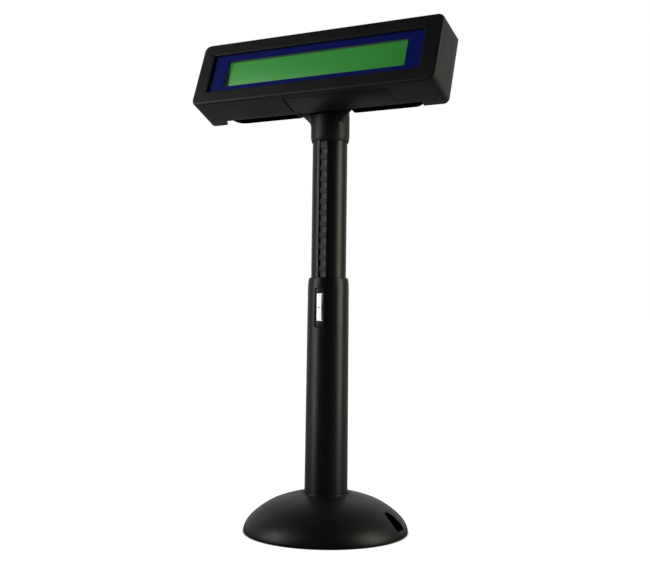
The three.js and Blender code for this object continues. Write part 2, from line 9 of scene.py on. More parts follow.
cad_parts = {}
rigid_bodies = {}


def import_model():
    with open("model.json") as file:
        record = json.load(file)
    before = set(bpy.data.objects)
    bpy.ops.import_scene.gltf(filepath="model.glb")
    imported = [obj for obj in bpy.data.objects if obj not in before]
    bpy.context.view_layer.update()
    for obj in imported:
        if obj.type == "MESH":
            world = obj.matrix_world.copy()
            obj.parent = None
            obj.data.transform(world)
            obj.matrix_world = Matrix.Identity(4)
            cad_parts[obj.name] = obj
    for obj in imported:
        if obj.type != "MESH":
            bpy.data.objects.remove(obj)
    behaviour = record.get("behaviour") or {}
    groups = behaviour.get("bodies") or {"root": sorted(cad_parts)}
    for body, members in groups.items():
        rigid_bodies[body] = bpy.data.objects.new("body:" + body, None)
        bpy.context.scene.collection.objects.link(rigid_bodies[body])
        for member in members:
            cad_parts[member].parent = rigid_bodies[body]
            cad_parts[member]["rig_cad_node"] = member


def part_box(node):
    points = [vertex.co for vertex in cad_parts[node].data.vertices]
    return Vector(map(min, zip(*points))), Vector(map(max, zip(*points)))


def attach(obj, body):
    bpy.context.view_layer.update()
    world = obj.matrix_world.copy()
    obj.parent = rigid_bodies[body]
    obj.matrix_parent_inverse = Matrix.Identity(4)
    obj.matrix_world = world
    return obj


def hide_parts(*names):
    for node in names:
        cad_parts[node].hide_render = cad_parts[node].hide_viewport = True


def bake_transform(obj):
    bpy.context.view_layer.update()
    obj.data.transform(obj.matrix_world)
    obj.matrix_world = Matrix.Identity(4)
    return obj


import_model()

for start_up in list(bpy.data.objects):
    if "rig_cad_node" not in start_up and not start_up.name.startswith("body:"):
        bpy.data.objects.remove(start_up)
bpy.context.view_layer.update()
MM = 0.001
rad = math.radians

# ------------------------------------------------------------------ driving sizes
FACE_Y, FACE_Z = -36.1, 388.75              # middle of the face
TILT_SIN, TILT_COS = math.sin(rad(20.85)), math.cos(rad(20.85))
case_low, case_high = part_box("front_case")
HEAD_HALF_WIDTH = (case_high.x - case_low.x) * 500.0
HEAD_HALF_HEIGHT, HEAD_DEPTH = 30.8, 35.15
WALL = 2.6
LOWER_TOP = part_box("lower_pole")[1].z * 1000
NECK_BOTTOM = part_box("neck")[0].z * 1000
LADDER_TURN, WINDOW_TURN = rad(3.5), rad(1.5)
PIN_Z = 186.6
HINGE_Y, HINGE_Z = -2.0, 368.0
# openings in the face: x from, x to, rise from, rise to
BEZEL = (-99.0, 97.3, -19.1, 18.4)
VIEW = (-84.3, 83.1, -13.3, 12.2)


def head(points):
    """head frame (x, rise, depth) -> scene; rise runs up the face, depth back from it"""
    x, rise, depth = np.moveaxis(np.asarray(points, float), -1, 0)
    return np.stack([x, FACE_Y + rise * TILT_SIN + depth * TILT_COS,
                     FACE_Z + rise * TILT_COS - depth * TILT_SIN], -1)


def turn_z(points, angle):
    x, y, z = np.moveaxis(np.asarray(points, float), -1, 0)
    cos, sin = math.cos(angle), math.sin(angle)
    return np.stack([x * cos - y * sin, x * sin + y * cos, z], -1)


def polar(radius, degrees, z=0):
    return np.array([radius * math.cos(rad(degrees)), radius * math.sin(rad(degrees)), z])


def corners(x, rise):
    """four places, the lower two first"""
    return [(side * x, level * rise) for level in (-1, 1) for side in (-1, 1)]


def smooth(value, start, end):
    share = np.clip((value - start) / (end - start), 0, 1)
    return share * share * (3 - 2 * share)


BASE_SCREW_ANGLES = (60, 180, 300)
PLATE_SCREW_RADIUS, POLE_SCREW_RADIUS = 36, 24.2
PLATE_SCREWS = [polar(PLATE_SCREW_RADIUS, angle) for angle in BASE_SCREW_ANGLES]
POLE_SCREWS = [polar(POLE_SCREW_RADIUS, angle + 30) for angle in BASE_SCREW_ANGLES]
# screw places in the head: (x, rise)
CASE_SCREWS = corners(105.3, 19.5)
BOARD_SCREWS = corners(80, 24.4)
BRACKET_SCREW_X, BRACKET_SCREW_RISES = 36, (4, 11.2)
BRACKET_SCREWS = [(side * BRACKET_SCREW_X, rise)
                  for side in (-1, 1) for rise in BRACKET_SCREW_RISES]


# ------------------------------------------------------------------ mesh helpers
def finish_mesh(part, angle=32):
    part.data.shade_smooth()
    part.data.set_sharp_from_angle(angle=rad(angle))


def make(name, points, faces, material=None, angle=32):
    mesh = bpy.data.meshes.new(name)
    mesh.from_pydata([tuple(point) for point in np.asarray(points, float) * MM], [],
                     [tuple(int(i) for i in face) for face in faces])
    bm = bmesh.new()
    bm.from_mesh(mesh)
    bmesh.ops.remove_doubles(bm, verts=bm.verts, dist=1e-7)
    bmesh.ops.dissolve_degenerate(bm, edges=bm.edges, dist=1e-7)
    bmesh.ops.recalc_face_normals(bm, faces=bm.faces)
    bm.to_mesh(mesh)
    bm.free()
    part = bpy.data.objects.new(name, mesh)
    bpy.context.scene.collection.objects.link(part)
    finish_mesh(part, angle)
    if material:
        mesh.materials.append(material)
    return part


def apply_modifiers(part):
    graph = bpy.context.evaluated_depsgraph_get()
    graph.update()
    mesh = bpy.data.meshes.new_from_object(part.evaluated_get(graph), depsgraph=graph)
    materials = list(part.data.materials)
    part.modifiers.clear()
    part.data = mesh
    # guards against an evaluated mesh that comes back without its materials
    if not len(mesh.materials):
        for material in materials:
            mesh.materials.append(material)


def boolean(part, tool, operation="DIFFERENCE"):
    """combines part with tool and removes tool"""
    modifier = part.modifiers.new("b", "BOOLEAN")
    modifier.operation = operation
    modifier.solver = "EXACT"
    modifier.object = tool
    bpy.context.view_layer.update()
    apply_modifiers(part)
    bpy.data.objects.remove(tool)


def bevel(part, width, segments=2, angle=34, smooth_angle=32):
    bm = bmesh.new()
    bm.from_mesh(part.data)
    bmesh.ops.remove_doubles(bm, verts=bm.verts, dist=2e-6)
    bmesh.ops.dissolve_degenerate(bm, edges=bm.edges, dist=1e-6)
    bmesh.ops.dissolve_limit(bm, angle_limit=rad(0.4), verts=bm.verts, edges=bm.edges)
    bm.to_mesh(part.data)
    bm.free()
    modifier = part.modifiers.new("v", "BEVEL")
    modifier.width = width * MM
    modifier.segments = segments
    modifier.limit_method = "ANGLE"
    modifier.angle_limit = rad(angle)
    modifier.miter_outer = "MITER_ARC"
    apply_modifiers(part)
    finish_mesh(part, smooth_angle)


def fillet(points, closed=True):
    """points (a, b[, radius[, segments]]) -> outline with rounded corners"""
    outline = []
    for i, point in enumerate(points):
        corner = np.array(point[:2], float)
        radius = point[2] if len(point) > 2 else 0
        segments = point[3] if len(point) > 3 else 4
        if radius <= 0 or (not closed and i in (0, len(points) - 1)):
            outline.append(tuple(corner))
            continue
        before = np.array(points[i - 1][:2], float) - corner
        after = np.array(points[(i + 1) % len(points)][:2], float) - corner
        before_length, after_length = np.linalg.norm(before), np.linalg.norm(after)
        before, after = before / before_length, after / after_length
        angle = math.acos(max(-1, min(1, float(before @ after))))
        if angle > math.pi - 1e-3:
            outline.append(tuple(corner))
            continue
        trim = min(radius / math.tan(angle / 2), before_length * 0.49, after_length * 0.49)
        reach = trim * math.tan(angle / 2) / math.sin(angle / 2)
        centre = corner + (before + after) / np.linalg.norm(before + after) * reach
        start, end = corner + before * trim - centre, corner + after * trim - centre
        sweep = math.pi - angle
        for k in range(segments + 1):
            share = k / segments
            arm = math.sin((1 - share) * sweep) * start + math.sin(share * sweep) * end
            outline.append(tuple(centre + arm / math.sin(sweep)))
    return outline


def rect(x0, x1, y0, y1):
    return [(x0, y0), (x1, y0), (x1, y1), (x0, y1)]


def filleted_rect(x0, x1, y0, y1, radius, segments):
    return fillet([(*corner, radius, segments) for corner in rect(x0, x1, y0, y1)])


def rounded_rect(box, radius, steps=6, xs=(), ys=()):
    """outline of box, anticlockwise from the bottom left, with extra points on its sides;
    radius may be a pair: lower and upper corners"""
    x0, x1, y0, y1 = box
    low, high = radius if isinstance(radius, tuple) else (radius, radius)
    points = []

    def arc(x, y, start, size):
        for k in range(steps + 1):
            angle = rad(start + 90 * k / steps)
            points.append((x + size * math.cos(angle), y + size * math.sin(angle)))

    arc(x0 + low, y0 + low, 180, low)
    points.extend((x, y0) for x in xs)
    arc(x1 - low, y0 + low, 270, low)
    points.extend((x1, y) for y in ys)
    arc(x1 - high, y1 - high, 0, high)
    points.extend((x, y1) for x in reversed(xs))
    arc(x0 + high, y1 - high, 90, high)
    points.extend((x0, y) for y in reversed(ys))
    return points


def band_faces(loop_count, size, wrap=False):
    """quads between neighbouring loops of points"""
    faces = []
    for i in range(loop_count if wrap else loop_count - 1):
        near, far = i * size, ((i + 1) % loop_count) * size
        for j in range(size):
            k = (j + 1) % size
            faces.append((near + j, near + k, far + k, far + j))
    return faces


def loft(loops, name="tool", material=None, wrap=False, angle=32):
    """skin over loops: capped at both ends, or wrapped from the last loop to the first"""
    count, size = len(loops), len(loops[0])
    faces = band_faces(count, size, wrap)
    if not wrap:
        faces.append(tuple(range(size))[::-1])
        faces.append(tuple((count - 1) * size + j for j in range(size)))
    points = np.concatenate([np.asarray(loop, float) for loop in loops])
    return make(name, points, faces, material, angle)


def lathe(profile, count=160, name="tool", material=None, angle=32):
    """(r, z) profile turned about Z: closed, or open with both ends on the axis"""
    on_axis = profile[0][0] < 1e-6 and profile[-1][0] < 1e-6
    turns = np.arange(count) * 2 * math.pi / count
    loops = [np.stack([r * np.cos(turns), r * np.sin(turns), np.full(count, z)], -1)
             for r, z in (profile[1:-1] if on_axis else profile)]
    if not on_axis:
        return loft(loops, name, material, wrap=True, angle=angle)
    poles = np.array([[0, 0, profile[0][1]], [0, 0, profile[-1][1]]])
    size = len(loops) * count
    faces = band_faces(len(loops), count)
    for j in range(count):
        k = (j + 1) % count
        faces.append((size, k, j))
        faces.append((size + 1, size - count + j, size - count + k))
    return make(name, np.concatenate(loops + [poles]), faces, material, angle)


def prism(outline, mapping, start, end, name="tool", material=None):
    """outline pushed from start to end; mapping(a, b, push) -> scene"""
    size = len(outline)
    points = [mapping(a, b, push) for push in (start, end) for a, b in outline]
    caps = [tuple(range(size))[::-1], tuple(range(size, 2 * size))]
    return make(name, np.array(points, float), caps + band_faces(2, size), material)


# prism mappings, named by the direction of the push
def along_x(y, z, x):
    return x, y, z


def along_y(x, z, y):
    return x, y, z


def along_z(x, y, z):
    return x, y, z


def to_front(x, z, out):
    return x, -out, z


def along_depth(x, rise, depth):
    return head((x, rise, depth))


def rod(radius, start, end, count=48):
    start, end = np.array(start, float), np.array(end, float)
    axis = (end - start) / np.linalg.norm(end - start)
    side = np.cross(axis, [0, 0, 1.0])
    side /= np.linalg.norm(side)
    other = np.cross(axis, side)
    turns = np.arange(count) * 2 * math.pi / count
    circle = np.cos(turns)[:, None] * side + np.sin(turns)[:, None] * other
    return loft([start + circle * radius, end + circle * radius])


def place(part, mapping):
    """moves the points of part with mapping (N x 3 -> N x 3)"""
    points = np.empty(len(part.data.vertices) * 3)
    part.data.vertices.foreach_get("co", points)
    points = mapping(points.reshape(-1, 3) / MM) * MM
    part.data.vertices.foreach_set("co", points.ravel())
    part.data.update()
    return part


def move(part, offset):
    return place(part, lambda points: points + offset)


def into_head(part, x, rise):
    """takes a part turned about Z to (x, rise) in the head, its axis along depth"""
    return place(part, lambda points: head(points + np.array([x, rise, 0])))


def add(part, body, node):
    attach(part, body)
    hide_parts(node)


# ------------------------------------------------------------------ shader helpers
class Shader:
    """a node tree and the node kinds it is built from"""

    def __init__(self, tree):
        self.tree = tree
        self.surface = tree.nodes.get("Principled BSDF")

    def fill(self, node, inputs):
        """links outputs to inputs and sets plain values; colours get alpha 1"""
        for key, value in inputs.items():
            socket = node.inputs[key]
            if isinstance(value, bpy.types.NodeSocket):
                self.tree.links.new(value, socket)
            elif socket.type == "RGBA":
                socket.default_value = (*value, 1)
            else:
                socket.default_value = value

    def paint(self, inputs):
        self.fill(self.surface, inputs)

    def node(self, kind, inputs={}, **settings):
        node = self.tree.nodes.new("ShaderNode" + kind)
        for key, value in settings.items():
            setattr(node, key, value)
        self.fill(node, inputs)
        return node

    def coords(self, output="Object"):
        return self.node("TexCoord").outputs[output]

    def axis(self, vector, letter):
        return self.node("SeparateXYZ", {0: vector}).outputs[letter]

    def noise(self, vector, scale, detail=3.0, rough=0.5):
        return self.node("TexNoise", {"Scale": scale, "Detail": detail, "Roughness": rough,
                                      "Vector": vector}).outputs["Fac"]

    def remap(self, value, source, target=(0, 1), interpolation="LINEAR"):
        inputs = {"From Min": source[0], "From Max": source[1],
                  "To Min": target[0], "To Max": target[1], "Value": value}
        node = self.node("MapRange", inputs, interpolation_type=interpolation)
        return node.outputs["Result"]

    def span(self, noise, low=0, high=1):
        """stretches the middle of a noise over low to high"""
        return self.remap(noise, (0.3, 0.7), (low, high))

    def mix(self, factor, first, second):
        return self.node("Mix", {0: factor, 6: first, 7: second}, data_type="RGBA").outputs[2]

    def math(self, operation, first, second):
        return self.node("Math", {0: first, 1: second}, operation=operation).outputs[0]

    def bump(self, *layers):
        """stacked layers: (height, strength, distance in metres)"""
        normal = None
        for height, strength, distance in layers:
            inputs = {"Strength": strength, "Distance": distance, "Height": height}
            if normal is not None:
                inputs["Normal"] = normal
            normal = self.node("Bump", inputs).outputs["Normal"]
        self.paint({"Normal": normal})

    def towards_back(self, vector, source, target):
        """value that rises smoothly along the direction away from the camera"""
        inputs = {0: vector, 1: (-0.4548, 0.8906, 0.0)}
        dot = self.node("VectorMath", inputs, operation="DOT_PRODUCT").outputs["Value"]
        return self.remap(dot, source, target, "SMOOTHSTEP")

    def by_ray(self, camera, others):
        """one value for camera rays, another for all others"""
        is_camera = self.node("LightPath").outputs["Is Camera Ray"]
        inputs = {0: is_camera, 2: others, 3: camera}
        return self.node("Mix", inputs, data_type="FLOAT").outputs[0]


def new_material(name):
    material = bpy.data.materials.new(name)
    material.use_nodes = True
    return material, Shader(material.node_tree)


def shades(colour, tint):
    """colour made darker and lighter by tint"""
    return (tuple(value * (1 - tint) for value in colour),
            tuple(min(1, value * (1 + tint)) for value in colour))


def set_glow(material, colour, strength):
    Shader(material.node_tree).paint({"Emission Color": colour, "Emission Strength": strength})


def moulded(name, colour, rough, grain=2600, grain_depth=4e-5, specular=0.5, tint=0.12,
            spread=0.05):
    """moulded plastic: fine grain (depth in metres), faint mottling in colour by tint
    and in gloss by spread"""
    material, shader = new_material(name)
    coords = shader.coords()
    fine = shader.noise(coords, scale=grain, detail=2.0, rough=0.6)
    broad = shader.noise(coords, scale=38, rough=0.55)
    middle = shader.noise(coords, scale=420, detail=2.0)
    shader.paint({
        "Base Color": shader.mix(shader.span(broad), *shades(colour, tint)),
        "Roughness": shader.math("ADD", shader.span(broad, rough - spread, rough + spread),
                                 shader.span(middle, -0.02, 0.02)),
        "Specular IOR Level": specular,
        "IOR": 1.49})
    shader.bump((fine, 0.35, grain_depth), (middle, 0.10, grain_depth * 1.5))
    return material


def metal(name, colour, rough, stretch=(1, 1, 1), scale=900, depth=1e-5, metallic=1.0,
          tint=0.08):
    """metal with grain stretched along its axes; depth in metres"""
    material, shader = new_material(name)
    coords = shader.coords()
    mapping = shader.node("Mapping", {"Scale": stretch, "Vector": coords})
    grain = shader.noise(mapping.outputs["Vector"], scale=scale, rough=0.6)
    broad = shader.noise(coords, scale=120, detail=2.0)
    shader.paint({
        "Base Color": shader.mix(shader.span(broad), *shades(colour, tint)),
        "Roughness": shader.span(grain, max(0.05, rough - 0.07), rough + 0.09),
        "Metallic": metallic})
    shader.bump((grain, 0.25, depth))
    return material


# ------------------------------------------------------------------ materials
CASE = moulded("case_plastic", colour=(0.0092, 0.0096, 0.0090), rough=0.47, grain=2100,
               grain_depth=5e-5, tint=0.10)
POLE = moulded("pole_plastic", colour=(0.0044, 0.0044, 0.0050), rough=0.36, grain=3000,
               grain_depth=2e-5, tint=0.10, spread=0.03)
BASE = moulded("base_plastic", colour=(0.0036, 0.0040, 0.0042), rough=0.43, grain=2300,
               specular=0.45, tint=0.10)
NECK = moulded("neck_plastic", colour=(0.0060, 0.0062, 0.0063), rough=0.47, grain=2800,
               grain_depth=2.5e-5, tint=0.10, spread=0.03)
INSERT = moulded("insert_plastic", colour=(0.016, 0.017, 0.019), rough=0.42, grain=2800,
                 grain_depth=2e-5)
LADDER = moulded("ladder_rung", colour=(0.050, 0.051, 0.052), rough=0.50, grain_depth=2e-5)
POCKET = moulded("ladder_pocket", colour=(0.110, 0.115, 0.122), rough=0.50, grain_depth=2e-5)
# painted fill light: both ladder materials glow faintly, the pocket floors more and with a touch of
# blue
set_glow(LADDER, colour=(1, 1, 1), strength=0.010)
set_glow(POCKET, colour=(0.95, 1, 1.08), strength=0.034)
# painted shade: near-black and almost glossless, put on the pocket walls and beside them
POCKET_SHADE = moulded("pocket_wall_painted_shade", colour=(0.0012, 0.0012, 0.0013), rough=0.8, grain_depth=2e-5,
              specular=0.05)
REAR = moulded("rear_cover_plastic_painted_shade", colour=(0.0092, 0.0094, 0.0090), rough=0.50, grain=2100,
               grain_depth=5e-5, specular=0.45, tint=0.10)
RUBBER = moulded("foot_rubber", colour=(0.010, 0.010, 0.010), rough=0.78, grain=1500,
                 grain_depth=6e-5, specular=0.3, tint=0.25)
SHEATH = moulded("cable_sheath", colour=(0.012, 0.012, 0.013), rough=0.55, grain=1800,
                 grain_depth=3e-5)
COMPONENT = moulded("component_black", colour=(0.014, 0.014, 0.015), rough=0.45, grain=1800,
                    grain_depth=2e-5)
NATURAL = moulded("natural_acetal", colour=(0.70, 0.66, 0.56), rough=0.42, grain=1800,
                  grain_depth=2e-5, tint=0.05)
FIBRE = moulded("friction_fibre", colour=(0.13, 0.07, 0.035), rough=0.75, grain=900,
                grain_depth=8e-5, tint=0.3)
SURROUND = moulded("surround_grey", colour=(0.200, 0.235, 0.215), rough=0.55, grain=2200,
                   grain_depth=3e-5)
LABEL = moulded("label_film", colour=(0.0090, 0.0088, 0.0086), rough=0.50, grain=2100,
                grain_depth=5e-5, specular=0.45, tint=0.10)
ZINC = metal("zinc_plate", colour=(0.62, 0.63, 0.65), rough=0.34, scale=1400)
STEEL = metal("spring_steel", colour=(0.42, 0.43, 0.45), rough=0.32, stretch=(1, 1, 8),
              scale=700)
PLATE = metal("plated_plate", colour=(0.40, 0.41, 0.42), rough=0.42, stretch=(6, 1, 1),
              scale=500)
# painted highlight: the leaf's near-white colour and its glow stand in for the shine of its polished
# steel
BRIGHT_LEAF_PAINTED_GLOW = metal("bright_leaf_painted_glow", colour=(0.95, 0.95, 0.94), rough=0.36, stretch=(9, 9, 1),
               depth=4e-6, metallic=0.25, tint=0.02)
set_glow(BRIGHT_LEAF_PAINTED_GLOW, colour=(1, 1, 0.99), strength=0.75)


def base_colour_source(shader):
    return shader.surface.inputs["Base Color"].links[0].from_socket


def darken_strip(material, x_from, x_to, amount, specular):
    """darkens a moulded material and takes away its gloss between two x places (metres)"""
    shader = Shader(material.node_tree)
    source = base_colour_source(shader)
    x = shader.axis(shader.coords(), "X")
    inside = shader.math("MULTIPLY", shader.math("GREATER_THAN", x, x_from),
                         shader.math("LESS_THAN", x, x_to))
    factor = shader.math("MULTIPLY", inside, amount)
    outside = shader.math("SUBTRACT", 1.0, inside)
    shader.paint({"Base Color": shader.mix(factor, source, (0, 0, 0)),
                  "Specular IOR Level": shader.math("MULTIPLY", outside, specular)})


def paint_shade_below(material, normal_z, specular):
    """paints shade on a moulded material: faces that look down go near-black, fading over the
    normal_z range
    """
    shader = Shader(material.node_tree)
    source = base_colour_source(shader)
    lit = shader.remap(shader.axis(shader.coords("Normal"), "Z"), normal_z)
    shader.paint({"Base Color": shader.mix(lit, (0.0008, 0.0008, 0.0009), source),
                  "Specular IOR Level": shader.math("MULTIPLY", lit, specular)})


darken_strip(LABEL, x_from=-0.0240, x_to=-0.0221, amount=0.9, specular=0.45)
# painted shade: the rear cover's downward faces are made near-black as if in their own shadow
paint_shade_below(REAR, normal_z=(-0.85, -0.60), specular=0.45)


def blue_film():
    material, shader = new_material("blue_film")
    coords = shader.coords()
    broad = shader.noise(coords, scale=30)
    fine = shader.noise(coords, scale=1500, detail=2.0, rough=0.6)
    shader.paint({
        "Base Color": shader.mix(shader.span(broad), (0.0100, 0.0205, 0.228),
                                 (0.0125, 0.0245, 0.272)),
        "Roughness": shader.span(fine, 0.30, 0.38),
        "Specular IOR Level": 0.18})
    shader.bump((fine, 0.2, 1e-5))
    return material


def green_window():
    """glowing tinted window: even green, a touch lighter to the left"""
    material, shader = new_material("green_window")
    coords = shader.coords()
    across = shader.remap(shader.axis(coords, "X"), (-0.084, 0.084))
    broad = shader.noise(coords, scale=14, detail=2.0)
    fine = shader.noise(coords, scale=1300, detail=2.0)
    even = shader.mix(across, (0.092, 0.462, 0.099), (0.047, 0.322, 0.046))
    patches = shader.math("MULTIPLY", shader.remap(broad, (0.35, 0.65)), 0.35)
    colour = shader.mix(patches, even, (0.076, 0.430, 0.078))
    shader.paint({
        "Base Color": colour,
        "Roughness": shader.span(fine, 0.30, 0.36),
        "Emission Color": colour,
        "Emission Strength": 0.25})
    shader.bump((fine, 0.15, 1e-5))
    return material


def solder_mask():
    """green circuit board with a faint brick pattern of tracks"""
    material, shader = new_material("solder_mask")
    coords = shader.coords()
    tracks = shader.node("TexBrick", {
        "Scale": 160, "Mortar Size": 0.03, "Color1": (0.015, 0.10, 0.04),
        "Color2": (0.018, 0.12, 0.05), "Mortar": (0.05, 0.17, 0.07), "Vector": coords})
    gloss = shader.noise(coords, scale=800, detail=2.0)
    shader.paint({"Base Color": tracks.outputs["Color"],
                  "Roughness": shader.span(gloss, 0.3, 0.42)})
    shader.bump((tracks.outputs["Fac"], 0.2, 3e-5))
    return material


def tube_glass():
    material, shader = new_material("tube_glass")
    broad = shader.noise(shader.coords(), scale=60, detail=2.0)
    shader.paint({
        "Base Color": shader.mix(shader.span(broad), (0.22, 0.30, 0.27), (0.28, 0.36, 0.33)),
        "Roughness": shader.span(broad, 0.06, 0.12),
        "Coat Weight": 0.6,
        "Coat Roughness": 0.04})
    shader.bump((broad, 0.05, 5e-5))
    return material


BLUE, GREEN, BOARD, GLASS = blue_film(), green_window(), solder_mask(), tube_glass()

# ------------------------------------------------------------------ base
DOME_RADIUS, DOME_HEIGHT, DOME_FOOT_Z = 68.77, 31.81, 1.3
DOME_STEPS, DOME_SWEEP = 44, rad(81.0)
COLLAR_RADIUS = 21.0                        # the dome ends here
SOCKET_TURN = rad(2.0)                      # data socket and its arch, about Z from +X
# (r, z): rim under the dome, bead round the pole, underside of the shell
RIM = [(67.5, 0.87), (68.26, 0.93), (68.65, 1.12)]
BEAD = [(20.85, 32.1), (20.7, 31.55), (20.35, 31.5), (20.15, 31.9), (20.05, 32.4),
        (19.85, 32.72), (19.45, 32.92), (18.95, 32.86), (18.62, 32.6), (18.5, 32.3),
        (18.5, 28.6)]
UNDERSIDE = [(21.4, 28.7), (29.6, 27.3), (36.8, 25.2), (43.4, 22.7), (49.3, 19.8), (54.4, 16.7),
             (58.7, 13.4), (62.2, 10.0), (64.4, 7.1), (65.6, 4.3), (65.8, 2.0), (65.9, 0.87)]
# arch in the wall at +X: (across, z, corner radius)
ARCH = [(-7.9, 6.35, 0.8), (7.5, 6.35, 0.8), (7.1, 9.4, 3), (6.4, 13.0, 4), (5.5, 16.2, 2),
        (4.2, 18.7, 1.2), (1.8, 20.3, 1.2), (-1.2, 20.5, 1.2), (-4.3, 19.1, 1.5),
        (-6.3, 16.3, 2), (-7.4, 12.7, 3)]


def dome_profile():
    """superellipse from the rim up to the collar, fuller towards the top"""
    points = []
    for k in range(DOME_STEPS + 1):
        angle = (k / DOME_STEPS) * DOME_SWEEP
        radius = DOME_RADIUS * math.cos(angle) ** (2 / 1.842)
        if radius < COLLAR_RADIUS:
            break
        z = DOME_FOOT_Z + DOME_HEIGHT * math.sin(angle) ** (2 / 1.853)
        points.append((radius, z + 1.3 * smooth(radius, 64.0, 42.0)))
    return points


def base_cover():
    cover = lathe(RIM + dome_profile() + BEAD + UNDERSIDE, 200, "base_cover_shell", BASE)
    boolean(cover, prism(fillet(ARCH), lambda across, z, out: turn_z((out, across, z), SOCKET_TURN),
                         45, 80))
    screw_boss = fillet([(1.35, 6.5), (3.8, 6.5, 0.4, 2), (3.8, 26.2), (1.35, 26.2)])
    for plate_screw, pole_screw in zip(PLATE_SCREWS, POLE_SCREWS):
        boolean(cover, move(lathe(screw_boss, 40), plate_screw), "UNION")
        boolean(cover, move(lathe(rect(0, 2.9, 25.25, 29.0), 32), pole_screw), "UNION")
        boolean(cover, move(lathe(rect(0, 1.2, 25.0, 28.6), 24), pole_screw))
    bevel(cover, 0.45, 3, 36)
    add(cover, "base", "base_cover")


def foot_ring():
    """rubber ring with shallow round grooves underneath"""
    ring = lathe(fillet([(44, 0, 0.3, 3), (60, 0, 0.3, 3), (60, 1.6, 0.15, 2), (44, 1.6, 0.15, 2)]),
                 160, "rubber_foot_ring", RUBBER)
    for radius in (48, 52, 56):
        boolean(ring, lathe([(radius - 0.5, -1), (radius + 0.5, -1),
                             (radius + 0.35, 0.35), (radius - 0.35, 0.35)]))
    finish_mesh(ring)
    add(ring, "base", "foot_ring")


def weight_plate():
    profile = fillet([(0, 1.7), (61.8, 1.7, 0.6, 3), (61.8, 6.3, 0.6, 3), (0, 6.3)], closed=False)
    plate = lathe(profile, 160, "steel_weight_plate", PLATE)
    for screw in PLATE_SCREWS:
        boolean(plate, move(lathe(rect(0, 2.1, 1.0, 8), 32), screw))
    bevel(plate, 0.2, 2, 50)
    add(plate, "base", "weight_plate")


base_cover()
foot_ring()
weight_plate()

# ------------------------------------------------------------------ lower pole and detent
TAPER_STEPS, TAPER_LOW, TAPER_HIGH = 12, 25.6, 203.4
# (r, z): flange, rounded mouth, bore
POLE_FLANGE = [(15.65, 22.0), (27.4, 22.0), (27.6, 22.2), (27.6, 24.8), (27.4, 25.0), (18.6, 25.0),
               (18.17, 25.4)]
POLE_MOUTH = [(17.28, 205.2), (17.18, 207.0), (17.02, 208.7), (16.80, 210.2), (16.56, 211.2),
              (16.33, 211.66), (16.08, 211.86), (15.73, LOWER_TOP), (15.30, LOWER_TOP),
              (15.10, 211.75), (15.05, 211.5)]
POLE_BORE = [(15.05, 148.3), (15.65, 148.3)]
LEAF_STEPS, LEAF_HALF_WIDTH, LEAF_THICKNESS = 22, 2.04, 0.48
LEAF_CHAMFER = 0.10
# bent end of the leaf, front then back: (distance from the axis, distance short of the end)
LEAF_END_FRONT = [(17.70, 0.42), (17.57, 0.12), (17.35, 0), (15.57, 0)]
LEAF_END_BACK = [(17.21, 0.62), (17.15, 0.52), (17.07, 0.48), (15.57, 0.48)]
# (r, distance from the axis less PIN_SHIFT)
PIN_PROFILE = [(0, 11.4), (0.45, 11.45), (0.85, 11.75), (1.15, 12.25), (1.34, 12.9), (1.4, 13.5),
               (1.4, 16.85), (1.3, 17.0), (0.78, 17.02), (0.78, 17.55), (0.66, 17.72),
               (0.4, 17.66), (0.16, 17.45), (0, 17.42)]
PIN_SHIFT = 0.35


def lower_pole():
    taper = [(18.15 - 0.80 * k / TAPER_STEPS, TAPER_LOW + (TAPER_HIGH - TAPER_LOW) * k / TAPER_STEPS)
             for k in range(TAPER_STEPS + 1)]
    pole = lathe(POLE_FLANGE + taper + POLE_MOUTH + POLE_BORE, 180, "lower_pole_tube", POLE,
                 angle=38)
    window = filleted_rect(-4.6, 4.6, 169.9, 202.7, 1.7, 6)
    boolean(pole, prism(window, lambda x, z, out: turn_z((x, -out, z), WINDOW_TURN), 10, 24))
    for screw in POLE_SCREWS:
        boolean(pole, move(lathe(rect(0, 1.5, 21, 27), 24), screw))
    bevel(pole, 0.28, 3, 40, 38)
    add(pole, "base", "lower_pole")


def detent_frame():
    """curved frame with a tall slot, set in the window of the lower pole"""
    frame = prism(filleted_rect(-4.45, 4.45, 170.05, 202.55, 1.6, 6), to_front, 10, 24,
                  "detent_window_frame", INSERT)
    boolean(frame, prism(filleted_rect(-3.2, 3.2, 175.2, 198.7, 0.4, 3), to_front, 9, 25))
    boolean(frame, lathe(rect(15.3, 16.62, 165, 207), 240), "INTERSECT")
    place(frame, lambda points: turn_z(points, WINDOW_TURN))
    bevel(frame, 0.16, 2, 40)
    add(frame, "base", "detent_frame")


def leaf_section(front, back, half_width):
    """chamfered cross-section between a front and a back (distance from the axis, z)"""
    front, back = np.array(front), np.array(back)
    inset = (front - back) / math.hypot(*(front - back)) * LEAF_CHAMFER
    narrow = half_width - LEAF_CHAMFER
    corner_list = [(-half_width, back + inset), (-half_width, front - inset), (-narrow, front),
                   (narrow, front), (half_width, front - inset), (half_width, back + inset),
                   (narrow, back), (-narrow, back)]
    return np.array([(x, -out, z) for x, (out, z) in corner_list])


